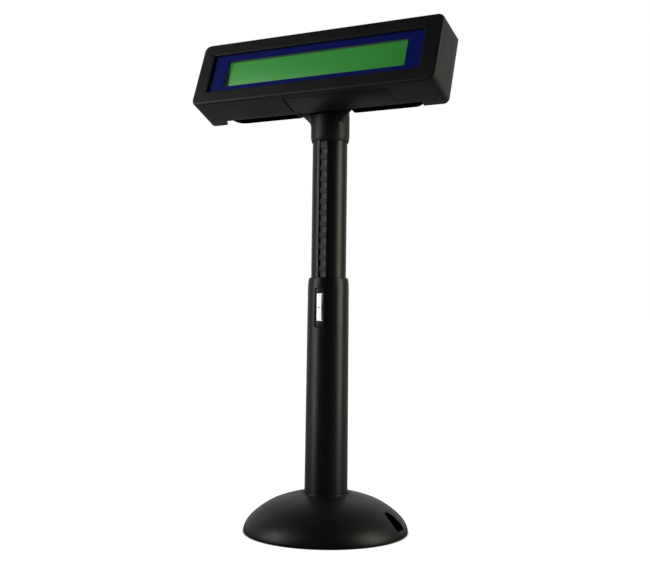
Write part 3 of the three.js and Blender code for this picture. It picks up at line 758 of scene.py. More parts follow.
def leaf_half(name, z_end):
    """half of the bowed leaf: the outer end sits in its slot, the middle at the pin"""
    side = 1 if z_end > PIN_Z else -1
    half = abs(z_end - PIN_Z)
    front, widths = [], []
    # the last two stations give way to the bent end
    for k in range(LEAF_STEPS - 1):
        share = k / LEAF_STEPS                  # 0 in the middle, 1 at the outer end
        front.append((18.02 - 0.30 * share ** 2, PIN_Z + side * half * share))
        widths.append(LEAF_HALF_WIDTH - 0.12 * math.exp(-((share * half / 4.2) ** 2)))
    back = [(out - LEAF_THICKNESS, z) for out, z in front]
    front += [(out, z_end - side * short) for out, short in LEAF_END_FRONT]
    back += [(out, z_end - side * short) for out, short in LEAF_END_BACK]
    widths += [LEAF_HALF_WIDTH] * len(LEAF_END_FRONT)
    leaf = loft([leaf_section(*station) for station in zip(front, back, widths)], name, BRIGHT_LEAF_PAINTED_GLOW,
                angle=50)
    boolean(leaf, rod(0.82, (0, -20.4, PIN_Z), (0, -15.4, PIN_Z), 40))
    finish_mesh(leaf, 50)
    place(leaf, lambda points: turn_z(points, WINDOW_TURN))
    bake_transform(leaf)
    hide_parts("detent_leaf")


def detent_pin():
    pin = lathe([(r, out + PIN_SHIFT) for r, out in PIN_PROFILE], 40, "detent_pin_body", STEEL)
    place(pin, lambda points: turn_z(
        np.stack([points[:, 0], -points[:, 2], PIN_Z + points[:, 1]], -1), WINDOW_TURN))
    finish_mesh(pin, 40)
    add(pin, "detent", "detent_pin")


lower_pole()
detent_frame()
leaf_half("detent_leaf_upper", 198.3)
leaf_half("detent_leaf_lower", 175.6)
detent_pin()

# ------------------------------------------------------------------ upper pole
TUBE_RADIUS = 14.75
TUBE_BOTTOM, TUBE_TOP = 136.0, 336.5
CHANNEL_HALF, CHANNEL_OUT = 3.3, 13.45      # half width; floor's distance from the axis
CHANNEL_BOTTOM = 160.0
POCKET_OUT, POCKET_HEIGHT = 11.4, 5.1
POCKET_PITCH, POCKET_TOP, POCKETS = 9.4, 320.4, 16
POCKET_EDGE = 0.09
POCKET_TOPS = [POCKET_TOP - i * POCKET_PITCH for i in range(POCKETS)]
# x of the mesh columns on one side of the channel's middle
CHANNEL_SIDE = [0.9, 1.8, 2.7, 3.0, 3.12, 3.2, 3.26, 3.32, 3.44, 3.62, 3.95]
CHANNEL_COLUMNS = [-x for x in reversed(CHANNEL_SIDE)] + [0.0] + CHANNEL_SIDE


def tube_rows():
    """heights of the mesh rows, closer together at the pocket edges"""
    rows = [TUBE_BOTTOM, TUBE_BOTTOM + 0.3, 147.8, 148.05, 148.3, 322, 326, 330, 334,
            TUBE_TOP - 0.4, TUBE_TOP - 0.12, TUBE_TOP]
    rows += list(np.linspace(CHANNEL_BOTTOM, 172.0, 4))
    for top in POCKET_TOPS:
        low = top - POCKET_HEIGHT
        rows += [top + 0.22, top + 0.1, top, top - POCKET_EDGE, top - POCKET_EDGE - 0.12,
                 top - 1.2, (top + low) / 2, low + 1.2, low + POCKET_EDGE + 0.12,
                 low + POCKET_EDGE, low, low - 0.1, low - 0.22,
                 low - POCKET_PITCH / 2 + POCKET_HEIGHT / 2]
    rows = sorted(round(z, 4) for z in rows if TUBE_BOTTOM <= z <= TUBE_TOP)
    kept = rows[:1]
    for z in rows[1:]:
        if z - kept[-1] > 0.02:
            kept.append(z)
    return kept


def channel_y(x, floor_out):
    """front surface at x: the tube outside the channel, its floor inside"""
    surface = -math.sqrt(TUBE_RADIUS * TUBE_RADIUS - x * x)
    inside = 1 - smooth(abs(x), CHANNEL_HALF - 0.12, CHANNEL_HALF + 0.06)
    # slight dip beside the channel
    dip = 0.10 * math.exp(-((abs(x) - 3.36) / 0.12) ** 2) if abs(x) > CHANNEL_HALF else 0
    return surface * (1 - inside) + (-floor_out) * inside + dip


def tube_loop(z, angles):
    radius = TUBE_RADIUS
    if z < 148.2:
        radius = 13.3
    if z > TUBE_TOP - 0.3:
        radius = TUBE_RADIUS - 0.25 * (z - (TUBE_TOP - 0.3)) / 0.3
    in_pocket = any(top - POCKET_HEIGHT + POCKET_EDGE * 0.5 < z < top - POCKET_EDGE * 0.5
                    for top in POCKET_TOPS)
    points = [(radius * math.sin(angle), -radius * math.cos(angle), z) for angle in angles]
    if z > CHANNEL_BOTTOM - 1e-6:
        floor_out = POCKET_OUT if in_pocket else CHANNEL_OUT
        for j, x in enumerate(CHANNEL_COLUMNS):
            points[j] = (x, channel_y(x, floor_out), z)
    return points


def bore_loop(z, angles, flat):
    """inside of the tube; flat takes it back behind the ladder"""
    points = []
    for angle in angles:
        radius = 12.0 if flat else 11.5
        if flat and math.cos(angle) > 0.3:
            radius = min(radius, 8.95 / math.cos(angle))
        points.append((radius * math.sin(angle), -radius * math.cos(angle), z))
    return points


def paint_ladder(mesh):
    """material slots: 1 channel floor, 2 pocket floor, 3 painted shade on the pocket walls and on
    the strip of floor beside the left wall
    """
    for face in mesh.polygons:
        centre = face.center * 1000
        if abs(centre.x) < 3.45 and -13.7 < centre.y < -11.0 and 160.5 < centre.z < 325:
            # these faces get the painted shade
            wall = abs(face.normal.z) > 0.5 or (centre.x < -2.75 and centre.y > -13.2)
            if wall and centre.y > -13.4:
                face.material_index = 3
            elif abs(centre.x) < 3.24:
                face.material_index = 2 if centre.y > -12.4 else 1


def upper_pole():
    """one skin with the channel and its ladder of pockets formed in the front"""
    front = [math.asin(x / TUBE_RADIUS) for x in CHANNEL_COLUMNS]
    angles = front + list(np.linspace(front[-1], 2 * math.pi + front[0], 150)[1:-1])
    loops = [tube_loop(z, angles) for z in tube_rows()]
    for z, flat in ((TUBE_TOP, False), (326.02, False), (325.98, True), (TUBE_BOTTOM, True)):
        loops.append(bore_loop(z, angles, flat))
    pole = loft(loops, "upper_pole_tube", POLE, wrap=True, angle=28)
    for extra in (LADDER, POCKET, POCKET_SHADE):
        pole.data.materials.append(extra)
    paint_ladder(pole.data)
    place(pole, lambda points: turn_z(points, LADDER_TURN))
    add(pole, "pole", "upper_pole")


upper_pole()


# ------------------------------------------------------------------ display head
def head_loop(box, radius, depth, xs, ys, steps=8):
    """rounded rectangle in the face plane; depth may be a function of (x, rise)"""
    outline = rounded_rect(box, radius, steps, xs, ys)
    return head([(x, rise, depth(x, rise) if callable(depth) else depth) for x, rise in outline])


def grown_loop(box, grow, radius, depth, xs, ys, steps=5):
    """head_loop of box with its sides and corners grown outwards"""
    x0, x1, low, high = box
    return head_loop((x0 - grow, x1 + grow, low - grow, high + grow), radius + grow, depth,
                     xs, ys, steps)


CASE_XS = [-95.3, -95.0, -94.7, -94.3, -93.8, -93.4, -93.0, -92.7, -92.4, -88,
           *np.linspace(-80, 80, 17), 88, 90.1, 90.25, 90.4, 90.7, 91.0, 91.3, 91.6, 96]
CASE_YS = [-16.5, -8, 0, 8, 19]
FACE_EDGE_RADIUS, FACE_EDGE_STEPS = 2.1, 7
# edge of the face opening, from inside out: (growth, depth)
BEZEL_EDGE = [(0.15, 2.4), (0.0, 2.2), (0.0, 0.6), (0.03, 0.38), (0.09, 0.22), (0.18, 0.1),
              (0.3, 0.03), (0.45, 0.0), (2.2, 0.0)]
# rear edge of the case walls, from outside in: (inset, distance ahead of the edge)
REAR_EDGE = [(0.0, 0.5), (0.08, 0.2), (0.25, 0.04), (0.45, 0.0), (WALL - 0.35, 0.0),
             (WALL - 0.1, 0.1), (WALL, 0.35)]
# screw bosses in the case: outer radius, bore radius, rear end, places
CASE_BOSSES = ((3.7, 1.3, 30.9, CASE_SCREWS), (2.95, 1.15, 19.4, BOARD_SCREWS))


def rear_edge(x, rise):
    """depth of the walls: the bottom one stops short across the middle"""
    if rise >= -HEAD_HALF_HEIGHT + 6 or abs(x) >= 97:
        return HEAD_DEPTH
    if x < 0:
        return float(np.interp(x, [-95.3, -94.7, -93.0, -92.4],
                               [HEAD_DEPTH, HEAD_DEPTH - 0.15, 29.6, 29.35]))
    return float(np.interp(x, [90.1, 90.4, 91.0, 91.6],
                           [29.35, 29.6, HEAD_DEPTH - 0.3, HEAD_DEPTH]))


def wall_loop(inset, depth, surface=None):
    """case outline at depth, or on surface(x, rise); its corners tighten towards the rear"""
    least = 0.9 if depth > 30 else 1.6
    radii = tuple(max(6.1 - taper * depth / HEAD_DEPTH - inset, least) for taper in (1.6, 4.5))
    box = (-HEAD_HALF_WIDTH + inset, HEAD_HALF_WIDTH - inset,
           -HEAD_HALF_HEIGHT + inset, HEAD_HALF_HEIGHT - inset)
    return head_loop(box, radii, depth if surface is None else surface, CASE_XS, CASE_YS)


def front_case():
    loops = [grown_loop(BEZEL, grow, 1.0, depth, CASE_XS, CASE_YS, 8)
             for grow, depth in BEZEL_EDGE]
    loops.append(wall_loop(FACE_EDGE_RADIUS + 0.5, 0.0))
    for k in range(FACE_EDGE_STEPS + 1):
        angle = rad(90 * k / FACE_EDGE_STEPS)
        loops.append(wall_loop(FACE_EDGE_RADIUS * (1 - math.sin(angle)),
                               FACE_EDGE_RADIUS * (1 - math.cos(angle))))
    loops += [wall_loop(0.0, 14.0), wall_loop(0.0, 26.0)]
    for inset, ahead in REAR_EDGE:
        loops.append(wall_loop(inset, HEAD_DEPTH, lambda x, rise: rear_edge(x, rise) - ahead))
    for inset, depth in ((WALL, 26.0), (WALL, 3.4), (WALL + 0.25, 2.7), (WALL + 0.9, 2.4)):
        loops.append(wall_loop(inset, depth))
    case = loft(loops, "front_case_shell", CASE, wrap=True, angle=30)
    for outer, bore, end, places in CASE_BOSSES:
        profile = [(bore, 2.1), (outer, 2.1), (outer, end - 0.3), (outer - 0.3, end),
                   (bore + 0.3, end), (bore, end - 0.3)]
        for x, rise in places:
            boolean(case, into_head(lathe(profile, 28), x, rise), "UNION")
    finish_mesh(case, 30)
    add(case, "head", "front_case")


def frame_loops(stations, rise):
    """loops of a flat frame; stations are (box, growth, corner radius, depth)"""
    return [grown_loop(*station, (-60, 0, 60), (rise,)) for station in stations]


def blue_panel():
    """flat frame round the view with small chamfers"""
    outside, front, rear, chamfer = (-100.5, 99.8, -21.3, 20.8), 2.6, 3.4, 0.12
    loops = frame_loops([
        (VIEW, 0, 0.6, rear - chamfer), (VIEW, 0, 0.6, front + chamfer),
        (VIEW, chamfer * 0.3, 0.6, front + chamfer * 0.3), (VIEW, chamfer, 0.6, front),
        (outside, -chamfer, 1.0, front), (outside, 0, 1.0, front + chamfer),
        (outside, 0, 1.0, rear - chamfer), (outside, -chamfer, 1.0, rear),
        (VIEW, chamfer, 0.6, rear)], rise=(outside[2] + outside[3]) / 2)
    add(loft(loops, "blue_panel_frame", BLUE, wrap=True, angle=12),
        "head", "blue_panel")


def lean_left(points):
    """leans the left side of a loop inwards towards the bottom"""
    x, z = points[:, 0], points[:, 2]
    share = (z - z.min()) / (z.max() - z.min())
    points[:, 0] += np.where(x < -60, 3.6 * (1 - share), 0)
    return points


def window_surround():
    """flange behind the blue panel, with a wall standing back from it"""
    flange, wall = (-93.5, 92.5, -19, 18), (-85.9, 84.7, -14.9, 13.8)
    loops = frame_loops([
        (VIEW, 0.1, 0.6, 5.4), (VIEW, 0, 0.6, 5.3), (VIEW, 0, 0.6, 3.75), (VIEW, 0.1, 0.6, 3.55),
        (VIEW, 0.3, 0.6, 3.5), (flange, -0.15, 1, 3.5), (flange, 0, 1, 3.62),
        (flange, 0, 1, 4.28), (flange, -0.15, 1, 4.4), (wall, 0.2, 1, 4.4), (wall, 0, 1, 4.6),
        (wall, 0, 1, 5.28), (wall, -0.12, 1, 5.4)], rise=1.5)
    loops[:2] = [lean_left(loop) for loop in loops[:2]]
    add(loft(loops, "window_surround_frame", SURROUND, wrap=True, angle=12),
        "head", "window_surround")


def flat_block(name, box, radius, front, rear, material, edge=0.25):
    """block parallel to the face with eased edges"""
    xs, ys = ([], []) if box[1] - box[0] < 90 else ([-40, 0, 40], [0])
    stations = ((edge, front), (edge * 0.3, front + edge * 0.3), (0, front + edge),
                (0, rear - edge), (edge * 0.3, rear - edge * 0.3), (edge, rear))
    return loft([grown_loop(box, -inset, radius, depth, xs, ys) for inset, depth in stations],
                name, material, angle=40)


def green_filter():
    add(flat_block("green_filter_window", (-88, 87, -16.9, 15.8), 1, 5.5, 7.5, GREEN),
        "head", "green_filter")


def display_tube():
    tube = flat_block("display_tube_glass", (-91, 91, -17.5, 17), 0.8, 10.2, 16.1, GLASS, 0.35)
    tip = rod(1.55, head((90.5, 10, 13.1)), head((94.2, 10, 13.1)), 28)
    boolean(tube, tip, "UNION")
    finish_mesh(tube, 40)
    add(tube, "head", "display_tube")


BOARD_REAR = 21.1
COIL_PROFILE = fillet([(0, 21.15), (6, 21.15, 0.3, 2), (6, 21.9, 0.2, 2), (6.5, 22.2, 0.2, 2),
                       (6.5, 29.5, 0.5, 3), (5.8, 30.0, 0.3, 3), (5.2, 30.5, 0.3, 3),
                       (2.4, 30.5, 0.2, 2), (2.4, 29.9, 0.2, 2), (0, 29.9)], closed=False)


def display_board():
    board = flat_block("display_circuit_board", (-97, 97, -26.4, 26.4), 1, 19.5, BOARD_REAR,
                       BOARD, 0.08)
    for x, rise in BOARD_SCREWS:
        boolean(board, rod(1.2, head((x, rise, 18)), head((x, rise, 24)), 24))
    finish_mesh(board, 40)
    add(board, "head", "display_board")


def controller_chip():
    chip = flat_block("controller_chip_body", (-52, -38, -6, 8), 0.4, 21.15, 23, COMPONENT, 0.2)
    boolean(chip, rod(0.7, head((-50, 6, 22.8)), head((-50, 6, 24)), 20))
    add(chip, "head", "controller_chip")


def power_coil():
    coil = lathe(COIL_PROFILE, 56, "power_coil_can", COMPONENT)
    add(into_head(coil, 62, 2), "head", "power_coil")


BULGE_STEPS, BULGE_REAR = 12, 49.3
BULGE_HALF_WIDTH, BULGE_END = 92.4, 28.0    # overall, and the part that rolls over
SIDE_START, LOW_START, HIGH_START = 29.5, 37.3, 40.3    # depths where the rolls begin


def bulge_loops(inset, start):
    """raised back of the rear cover: its sides roll over into the flat back"""
    low_radius, high_radius, end = 12.0 - inset, 9.0 - inset, BULGE_END - inset
    rear = BULGE_REAR - inset

    def rolled(radius, past):
        return math.sqrt(max(0.0, radius * radius - max(0, past) ** 2))

    depths = [start, *np.linspace(34.0, LOW_START, 3)]
    depths += [LOW_START + (rear - LOW_START) * math.sin(rad(90 * k / BULGE_STEPS))
               for k in range(1, BULGE_STEPS + 1)]
    loops = []
    for depth in depths:
        low = rolled(low_radius, depth - LOW_START)
        high = rolled(high_radius, depth - HIGH_START)
        share = max(0.0, depth - SIDE_START) / (rear - SIDE_START)
        half = (BULGE_HALF_WIDTH - BULGE_END) + end * math.sqrt(max(0.0, 1 - share ** 2))
        corner = 3.2 - inset * 0.5 + (low_radius - low) * 0.35
        loops.append(head_loop((-half, half, -15.0 - low, 13.0 + high), corner, depth,
                               [-50, -25, 0, 25, 50], [-4], 10))
    return loops


def rear_cover():
    cover = flat_block("rear_cover_shell", (-108.6, 108.6, -27.7, 27.7), 2.6, 31.0, 33.4, REAR,
                       0.02)
    bulge = loft(bulge_loops(0, 29.7), angle=30)
    # above its bottom strip the bulge starts at the lid
    boolean(bulge, prism(rect(-100, 100, -24.9, 40), along_depth, 20, 31.2))
    hollow = loft(bulge_loops(2.2, 20.0), angle=30)
    boolean(cover, bulge, "UNION")
    boolean(cover, hollow)
    for x, rise in CASE_SCREWS:
        boolean(cover, rod(1.75, head((x, rise, 20)), head((x, rise, 40)), 28))
    opening = rounded_rect((-26, 26, -45, 1.5), 2.2, 5)
    boolean(cover, prism(opening, along_depth, 28, 60))
    for x, rise in BRACKET_SCREWS:
        boolean(cover, into_head(lathe(rect(1.35, 3.2, 43.05, 47.8), 28), x, rise), "UNION")
    bevel(cover, 0.5, 3, 38, 30)
    add(cover, "head", "rear_cover")


def rating_label():
    """thin film under the case, its lower edge eased"""
    full, eased = ((-23.5, 70, 5.4, 26.4), 1.2), ((-23.4, 69.9, 5.5, 26.3), 1.1)
    loops = [head([(x, rise, depth) for x, depth in rounded_rect(box, radius, 5)])
             for (box, radius), rise in ((full, -30.83), (full, -30.95), (eased, -31.0))]
    add(loft(loops, "blank_rating_label", LABEL, angle=50), "head", "rating_label")


front_case()
blue_panel()
window_surround()
green_filter()
display_tube()
display_board()
controller_chip()
power_coil()
rear_cover()
rating_label()

# ------------------------------------------------------------------ neck and its hinge
# (r, z) of the turned part
NECK_PROFILE = [(15.08, 327.5), (15.3, 327.15), (15.6, NECK_BOTTOM), (15.7, 327.25),
                (16.28, 330.3), (16.39, 331.0), (16.45, 331.9), (16.45, 353), (11.4, 353),
                (11.4, 341.0), (9.2, 341.0), (9.2, 338.4), (15.08, 338.4)]
NECK_FRONT, NECK_SLOPE_Z = -16.45, 349.1    # where the sloping cut meets the front
# front plate (x, z[, corner radius, segments]) and side uprights (y, z)
NECK_PLATE = fillet([(-12.8, 341.6), (12.8, 341.6), (24.8, 352.8, 2.5, 4), (24.8, 366),
                     (-24.8, 366), (-24.8, 352.8, 2.5, 4)])
NECK_UPRIGHT = [(-5.2, 340), (4.6, 340), (5.0, 366), (0, 372), (-6, 372), (-9.68, 366),
                (-9.68, 345.5)]


def hinge_rod(radius, start, end, count):
    """rod along the hinge axis between two x places"""
    return rod(radius, (start, HINGE_Y, HINGE_Z), (end, HINGE_Y, HINGE_Z), count)


def neck():
    yoke = lathe(NECK_PROFILE, 144, "neck_yoke", NECK)
    sin, cos = math.sin(rad(-69)), math.cos(rad(-69))
    slope = [(y * cos - z * sin + NECK_FRONT, y * sin + z * cos + NECK_SLOPE_Z)
             for y, z in ((0, 0), (-30, 0), (-30, 30), (0, 30))]
    boolean(yoke, prism(slope, along_x, -30, 30))
    boolean(yoke, prism(rect(5, 30, 349.3, 400), along_x, -30, 30))
    plate = prism(NECK_PLATE, along_y, -9.7, -7.5)
    boolean(plate, bore_tool(11.4, 338, 349.5))
    for side in (-1, 1):
        upright = prism(NECK_UPRIGHT, along_x, *sorted((11.7 * side, 15.4 * side)))
        # clears the foot of the upright inside the bore
        clearance = prism(rect(-9.6, 9, 338, 341.05), along_x, -20, 20)
        boolean(clearance, bore_tool(11.3, 330, 345), "INTERSECT")
        boolean(upright, clearance)
        boolean(yoke, upright, "UNION")
        boolean(yoke, hinge_rod(7, 12 * side, 25 * side, 72), "UNION")
    boolean(yoke, plate, "UNION")
    boolean(yoke, prism(rect(-7.4, 20, 352.5, 380), along_x, -11.7, 11.7))
    boolean(yoke, bore_tool(11.35, 341.05, 353.5))
    for side in (-1, 1):
        boolean(yoke, hinge_rod(2.05, 8 * side, 30 * side, 32))
    bevel(yoke, 0.45, 3, 40, 34)
    add(yoke, "neck", "neck")


def bore_tool(radius, low, high):
    """upright cylinder on the pole's axis"""
    turns = np.arange(96) * 2 * math.pi / 96
    # the first point lies on +X and the turn runs clockwise seen from above
    circle = np.stack([np.cos(turns) * radius, -np.sin(turns) * radius], -1)
    return loft([np.column_stack([circle, np.full(96, float(z))]) for z in (low, high)])


def hexagon(radius):
    return [(radius * math.cos(rad(60 * k + 30)), radius * math.sin(rad(60 * k + 30)))
            for k in range(6)]


# hinge profiles: (r, distance from the middle plane[, corner radius, segments])
HINGE_PIN = fillet([(0, 8.6), (1.98, 8.6, 0.4, 2), (1.98, 29.3), (4.2, 29.3, 0.15, 2),
                    (4.2, 30.9, 0.5, 3), (3.4, 31.4, 0.3, 2), (0, 31.4)], closed=False)
NUT_CONE = [(0, 9.2), (3.75, 9.2), (4.1, 9.7), (4.1, 11.2), (3.75, 11.7), (0, 11.7)]
FRICTION_DISC = fillet([(2.12, 25.1), (6.4, 25.1, 0.15, 2), (6.4, 26.2, 0.15, 2), (2.12, 26.2)])
CUPPED_WASHER = [(2.1, 28.55), (3.4, 28.45), (4.6, 28.3), (4.62, 28.55), (4.6, 28.8),
                 (3.4, 29.0), (2.1, 29.15)]


def hinge_parts(side, sign):
    def outward(points):
        return np.stack([points[:, 2] * sign, HINGE_Y + points[:, 0],
                         HINGE_Z + points[:, 1] * sign], -1)

    pin = lathe(HINGE_PIN, 48, "hinge_pin_" + side, ZINC)
    boolean(pin, prism(hexagon(1.9), along_z, 30.4, 33))
    bevel(pin, 0.1, 2, 50)
    add(place(pin, outward), "neck", "tilt_pin_" + side)
    nut = prism(hexagon(3.9), along_z, 9.3, 11.6, "hinge_nut_" + side, ZINC)
    boolean(nut, lathe(NUT_CONE, 48), "INTERSECT")
    boolean(nut, lathe(rect(0, 2.06, 9, 13), 40))
    bevel(nut, 0.08, 2, 40)
    add(place(nut, outward), "neck", "tilt_nut_" + side)
    disc = lathe(FRICTION_DISC, 64, "friction_disc_" + side, FIBRE)
    add(place(disc, outward), "neck", "friction_washer_" + side)
    washer = lathe(CUPPED_WASHER, 64, "cupped_washer_" + side, STEEL, angle=50)
    add(place(washer, outward), "neck", "spring_washer_" + side)


# the hinge axis in the head frame
HINGE_RISE = (HINGE_Y - FACE_Y) * TILT_SIN + (HINGE_Z - FACE_Z) * TILT_COS
HINGE_DEPTH = (HINGE_Y - FACE_Y) * TILT_COS - (HINGE_Z - FACE_Z) * TILT_SIN
EYE_RADIUS, STRAP_START = 6.4, HINGE_RISE + 8.2


def bracket(side, sign):
    """ear with a round eye at the hinge and a strap up to a flat foot"""
    eye = [(HINGE_RISE + EYE_RADIUS * math.cos(angle), HINGE_DEPTH + EYE_RADIUS * math.sin(angle))
           for angle in np.linspace(rad(33), rad(327), 44)]
    strap = [(STRAP_START, 35.7, 1.5, 3), (13.0, 35.7, 1.5, 3), (13.0, 42.9),
             (STRAP_START, 42.9, 1.5, 3)]
    ear = prism(fillet(eye + strap), lambda rise, depth, x: head((x, rise, depth)), 26.3, 28.2,
                "tilt_bracket_plate_" + side, STEEL)
    foot = fillet([(26.3, 0.4), (42, 0.4, 2.5, 5), (42, 14.0, 2.5, 5), (26.3, 14.0)])
    boolean(ear, prism(foot, along_depth, 41.0, 42.9), "UNION")
    boolean(ear, rod(2.1, head((20, HINGE_RISE, HINGE_DEPTH)),
                     head((35, HINGE_RISE, HINGE_DEPTH)), 36))
    for rise in BRACKET_SCREW_RISES:
        boolean(ear, rod(1.4, head((BRACKET_SCREW_X, rise, 30)),
                         head((BRACKET_SCREW_X, rise, 50)), 28))
    bevel(ear, 0.22, 2, 40)
    if sign < 0:
        place(ear, lambda points: points * np.array([-1, 1, 1]))
        ear.data.flip_normals()
    add(ear, "head", "tilt_bracket_" + side)


neck()
for build in (hinge_parts, bracket):
    build("left", -1)
    build("right", 1)


# ------------------------------------------------------------------ screws
def screw_pattern(shank, length, head_radius, head_height, pitch):
    """cross-head screw about Z: head from -head_height to 0, thread from 0 to length"""
    profile = [(0, -head_height)]
    for angle in (20, 36, 52, 66, 78, 90):
        profile.append((head_radius * math.sin(rad(angle)) ** 0.9,
                        -head_height * (0.42 + 0.58 * math.cos(rad(angle)))))
    profile += [(head_radius, -0.15), (head_radius - 0.12, 0), (shank * 0.98, 0)]
    z = 0.8
    while z < length - 1.4:
        profile += [(shank * 0.80, z), (shank * 0.80, z + pitch * 0.35),
                    (shank, z + pitch * 0.62), (shank, z + pitch * 0.72)]
        z += pitch
    profile += [(shank * 0.78, length - 1.1), (0.18, length - 0.05), (0, length)]
    screw = lathe(profile, 36, "screw", ZINC, angle=40)
    slot, arm = head_radius * 0.11, head_radius * 0.5
    cross = [(slot, slot), (slot, arm), (-slot, arm), (-slot, slot), (-arm, slot), (-arm, -slot),
             (-slot, -slot), (-slot, -arm), (slot, -arm), (slot, -slot), (arm, -slot), (arm, slot)]
    recess = [np.array([(x * scale, y * scale, z) for x, y in cross])
              for scale, z in ((1.12, -head_height - 0.3), (1.0, -head_height * 0.93),
                               (0.55, -head_height * 0.35))]
    boolean(screw, loft(recess))
    finish_mesh(screw, 40)
    return screw


def screw_set(kind, body, pattern, mappings, suffixes=(1, 2, 3, 4)):
    """a copy of pattern for each mapping"""
    for suffix, mapping in zip(suffixes, mappings):
        screw = bpy.data.objects.new(f"{kind}_fixing_screw_{suffix}", pattern.data.copy())
        bpy.context.scene.collection.objects.link(screw)
        add(place(screw, mapping), body, f"{kind}_screw_{suffix}")
    bpy.data.objects.remove(pattern)


def upright(turn, spot):
    return lambda points: turn_z(points, turn) + spot


def in_head(turn, x, rise, depth, facing=1):
    """facing 1 points the screw to the rear, -1 to the face"""
    flip, spot = np.array([1, facing, facing]), np.array([x, rise, depth])
    return lambda points: head(turn_z(points, turn) * flip + spot)


screw_set("plate", "base",
          screw_pattern(shank=1.2, length=14.4, head_radius=4.0, head_height=1.35, pitch=1.0),
          [upright(rad(angle) + 0.3, polar(PLATE_SCREW_RADIUS, angle, 1.6))
           for angle in BASE_SCREW_ANGLES])
screw_set("pole", "base",
          screw_pattern(shank=1.0, length=5.2, head_radius=2.6, head_height=1.65, pitch=0.8),
          [upright(rad(angle) + 0.8, polar(POLE_SCREW_RADIUS, angle + 30, 21.95))
           for angle in BASE_SCREW_ANGLES])
screw_set("board", "head",
          screw_pattern(shank=0.95, length=12.0, head_radius=1.9, head_height=1.5, pitch=0.8),
          [in_head(0.3 + k, *spot, 21.18, facing=-1) for k, spot in enumerate(BOARD_SCREWS)])
screw_set("case", "head",
          screw_pattern(shank=1.1, length=15.3, head_radius=2.8, head_height=1.6, pitch=1.0),
          [in_head(0.5 + 1.3 * k, *spot, 33.46, facing=-1) for k, spot in enumerate(CASE_SCREWS)])
screw_set("bracket", "head",
          screw_pattern(shank=1.15, length=5.8, head_radius=2.5, head_height=1.7, pitch=0.9),
          [in_head(0.2 + k, *spot, 40.97) for k, spot in enumerate(BRACKET_SCREWS)],
          ("left_1", "left_2", "right_1", "right_2"))

# ------------------------------------------------------------------ parts inside the poles
# turned profiles: (r, z[, corner radius, segments])
SLIDE_BUSH = fillet([(13.4, 136.05), (15.45, 136.05, 0.4, 3), (15.45, 147.95, 0.4, 3),
                     (13.4, 147.95)])
SWIVEL_BUSH = fillet([(6.2, 327, 0.3, 2), (11.35, 327, 0.5, 3), (11.35, 336.6),
                      (14.1, 336.6, 0.2, 2), (14.1, 337.6, 0.2, 2), (9.0, 337.6), (9.0, 341.25),
                      (8.2, 341.25), (8.2, 342.35), (9.0, 342.35, 0.1, 1), (8.6, 343.6, 0.3, 2),
                      (6.2, 343.6, 0.2, 2)])
SNAP_RING = fillet([(8.3, 341.35, 0.1, 1), (10.9, 341.35, 0.15, 2), (10.9, 342.25, 0.15, 2),
                    (8.3, 342.25, 0.1, 1)])
THRUST_WASHER = fillet([(9.15, 337.65), (14.0, 337.65, 0.12, 2), (14.0, 338.3, 0.12, 2),
                        (9.15, 338.3)])


def slide_bush():
    bush = lathe(SLIDE_BUSH, 96, "slide_bush_ring", NATURAL)
    for k in range(4):
        turn = rad(45 + 90 * k)
        boolean(bush, prism(rect(12, 17, -0.6, 0.6), lambda x, y, z: turn_z((x, y, z), turn),
                            141, 150))
    bevel(bush, 0.15, 2, 45)
    add(bush, "pole", "slide_bush")


def swivel_parts():
    add(lathe(SWIVEL_BUSH, 96, "swivel_bush_core", NATURAL),
        "pole", "swivel_bush")
    ring = lathe(SNAP_RING, 96, "swivel_snap_ring", STEEL)
    boolean(ring, prism([(0, 0), (5.5, 20), (-5.5, 20)], along_z, 340, 344))
    place(ring, lambda points: turn_z(points, LADDER_TURN))
    finish_mesh(ring, 40)
    add(ring, "pole", "swivel_clip")
    add(lathe(THRUST_WASHER, 96, "swivel_thrust_washer", FIBRE),
        "pole", "swivel_washer")


# ------------------------------------------------------------------ cables and connectors
def between(first, second, time, start, end):
    return (end - time) / (end - start) * first + (time - start) / (end - start) * second


def centripetal_curve(points, step):
    """centripetal Catmull-Rom curve through points, sampled about every step"""
    points = [np.array(point, float) for point in points]
    points = [2 * points[0] - points[1]] + points + [2 * points[-1] - points[-2]]
    curve = []
    for i in range(1, len(points) - 2):
        p0, p1, p2, p3 = points[i - 1:i + 3]
        t0, t1, t2, t3 = np.cumsum([0.0] + [np.linalg.norm(b - a) ** 0.5
                                            for a, b in ((p0, p1), (p1, p2), (p2, p3))])
        count = max(2, int(np.linalg.norm(p2 - p1) / step))
        for k in range(count):
            time = t1 + (t2 - t1) * k / count
            middle = between(p1, p2, time, t1, t2)
            early = between(between(p0, p1, time, t0, t1), middle, time, t0, t2)
            late = between(middle, between(p2, p3, time, t2, t3), time, t1, t3)
            curve.append(between(early, late, time, t1, t2))
    return np.array(curve + [points[-2]])


def cable(name, points, radius, count, step):
    """round cable; each section's frame is carried on from the one before"""
    curve = centripetal_curve(points, step)
    tangents = np.gradient(curve, axis=0)
    tangents /= np.linalg.norm(tangents, axis=1)[:, None]
    side = np.cross(tangents[0], [0.3, 0.9, 0.1])
    side /= np.linalg.norm(side)
    turns = np.arange(count) * 2 * math.pi / count
    loops = []
    for centre, tangent in zip(curve, tangents):
        side = side - (side @ tangent) * tangent
        side /= np.linalg.norm(side)
        other = np.cross(tangent, side)
        circle = np.cos(turns)[:, None] * side + np.sin(turns)[:, None] * other
        loops.append(centre + radius * circle)
    return loft(loops, name, SHEATH, angle=60)


# (x, rise, depth) from the board connector to the neck
HEAD_LEAD = [(-34, -15.2, 27.8), (-34, -12, 29.7), (-28, -2, 29.8), (-14, 4, 30.0),
             (-4, 3.5, 31.8), (0, -1, 36.5), (0, -8, 40.5)]
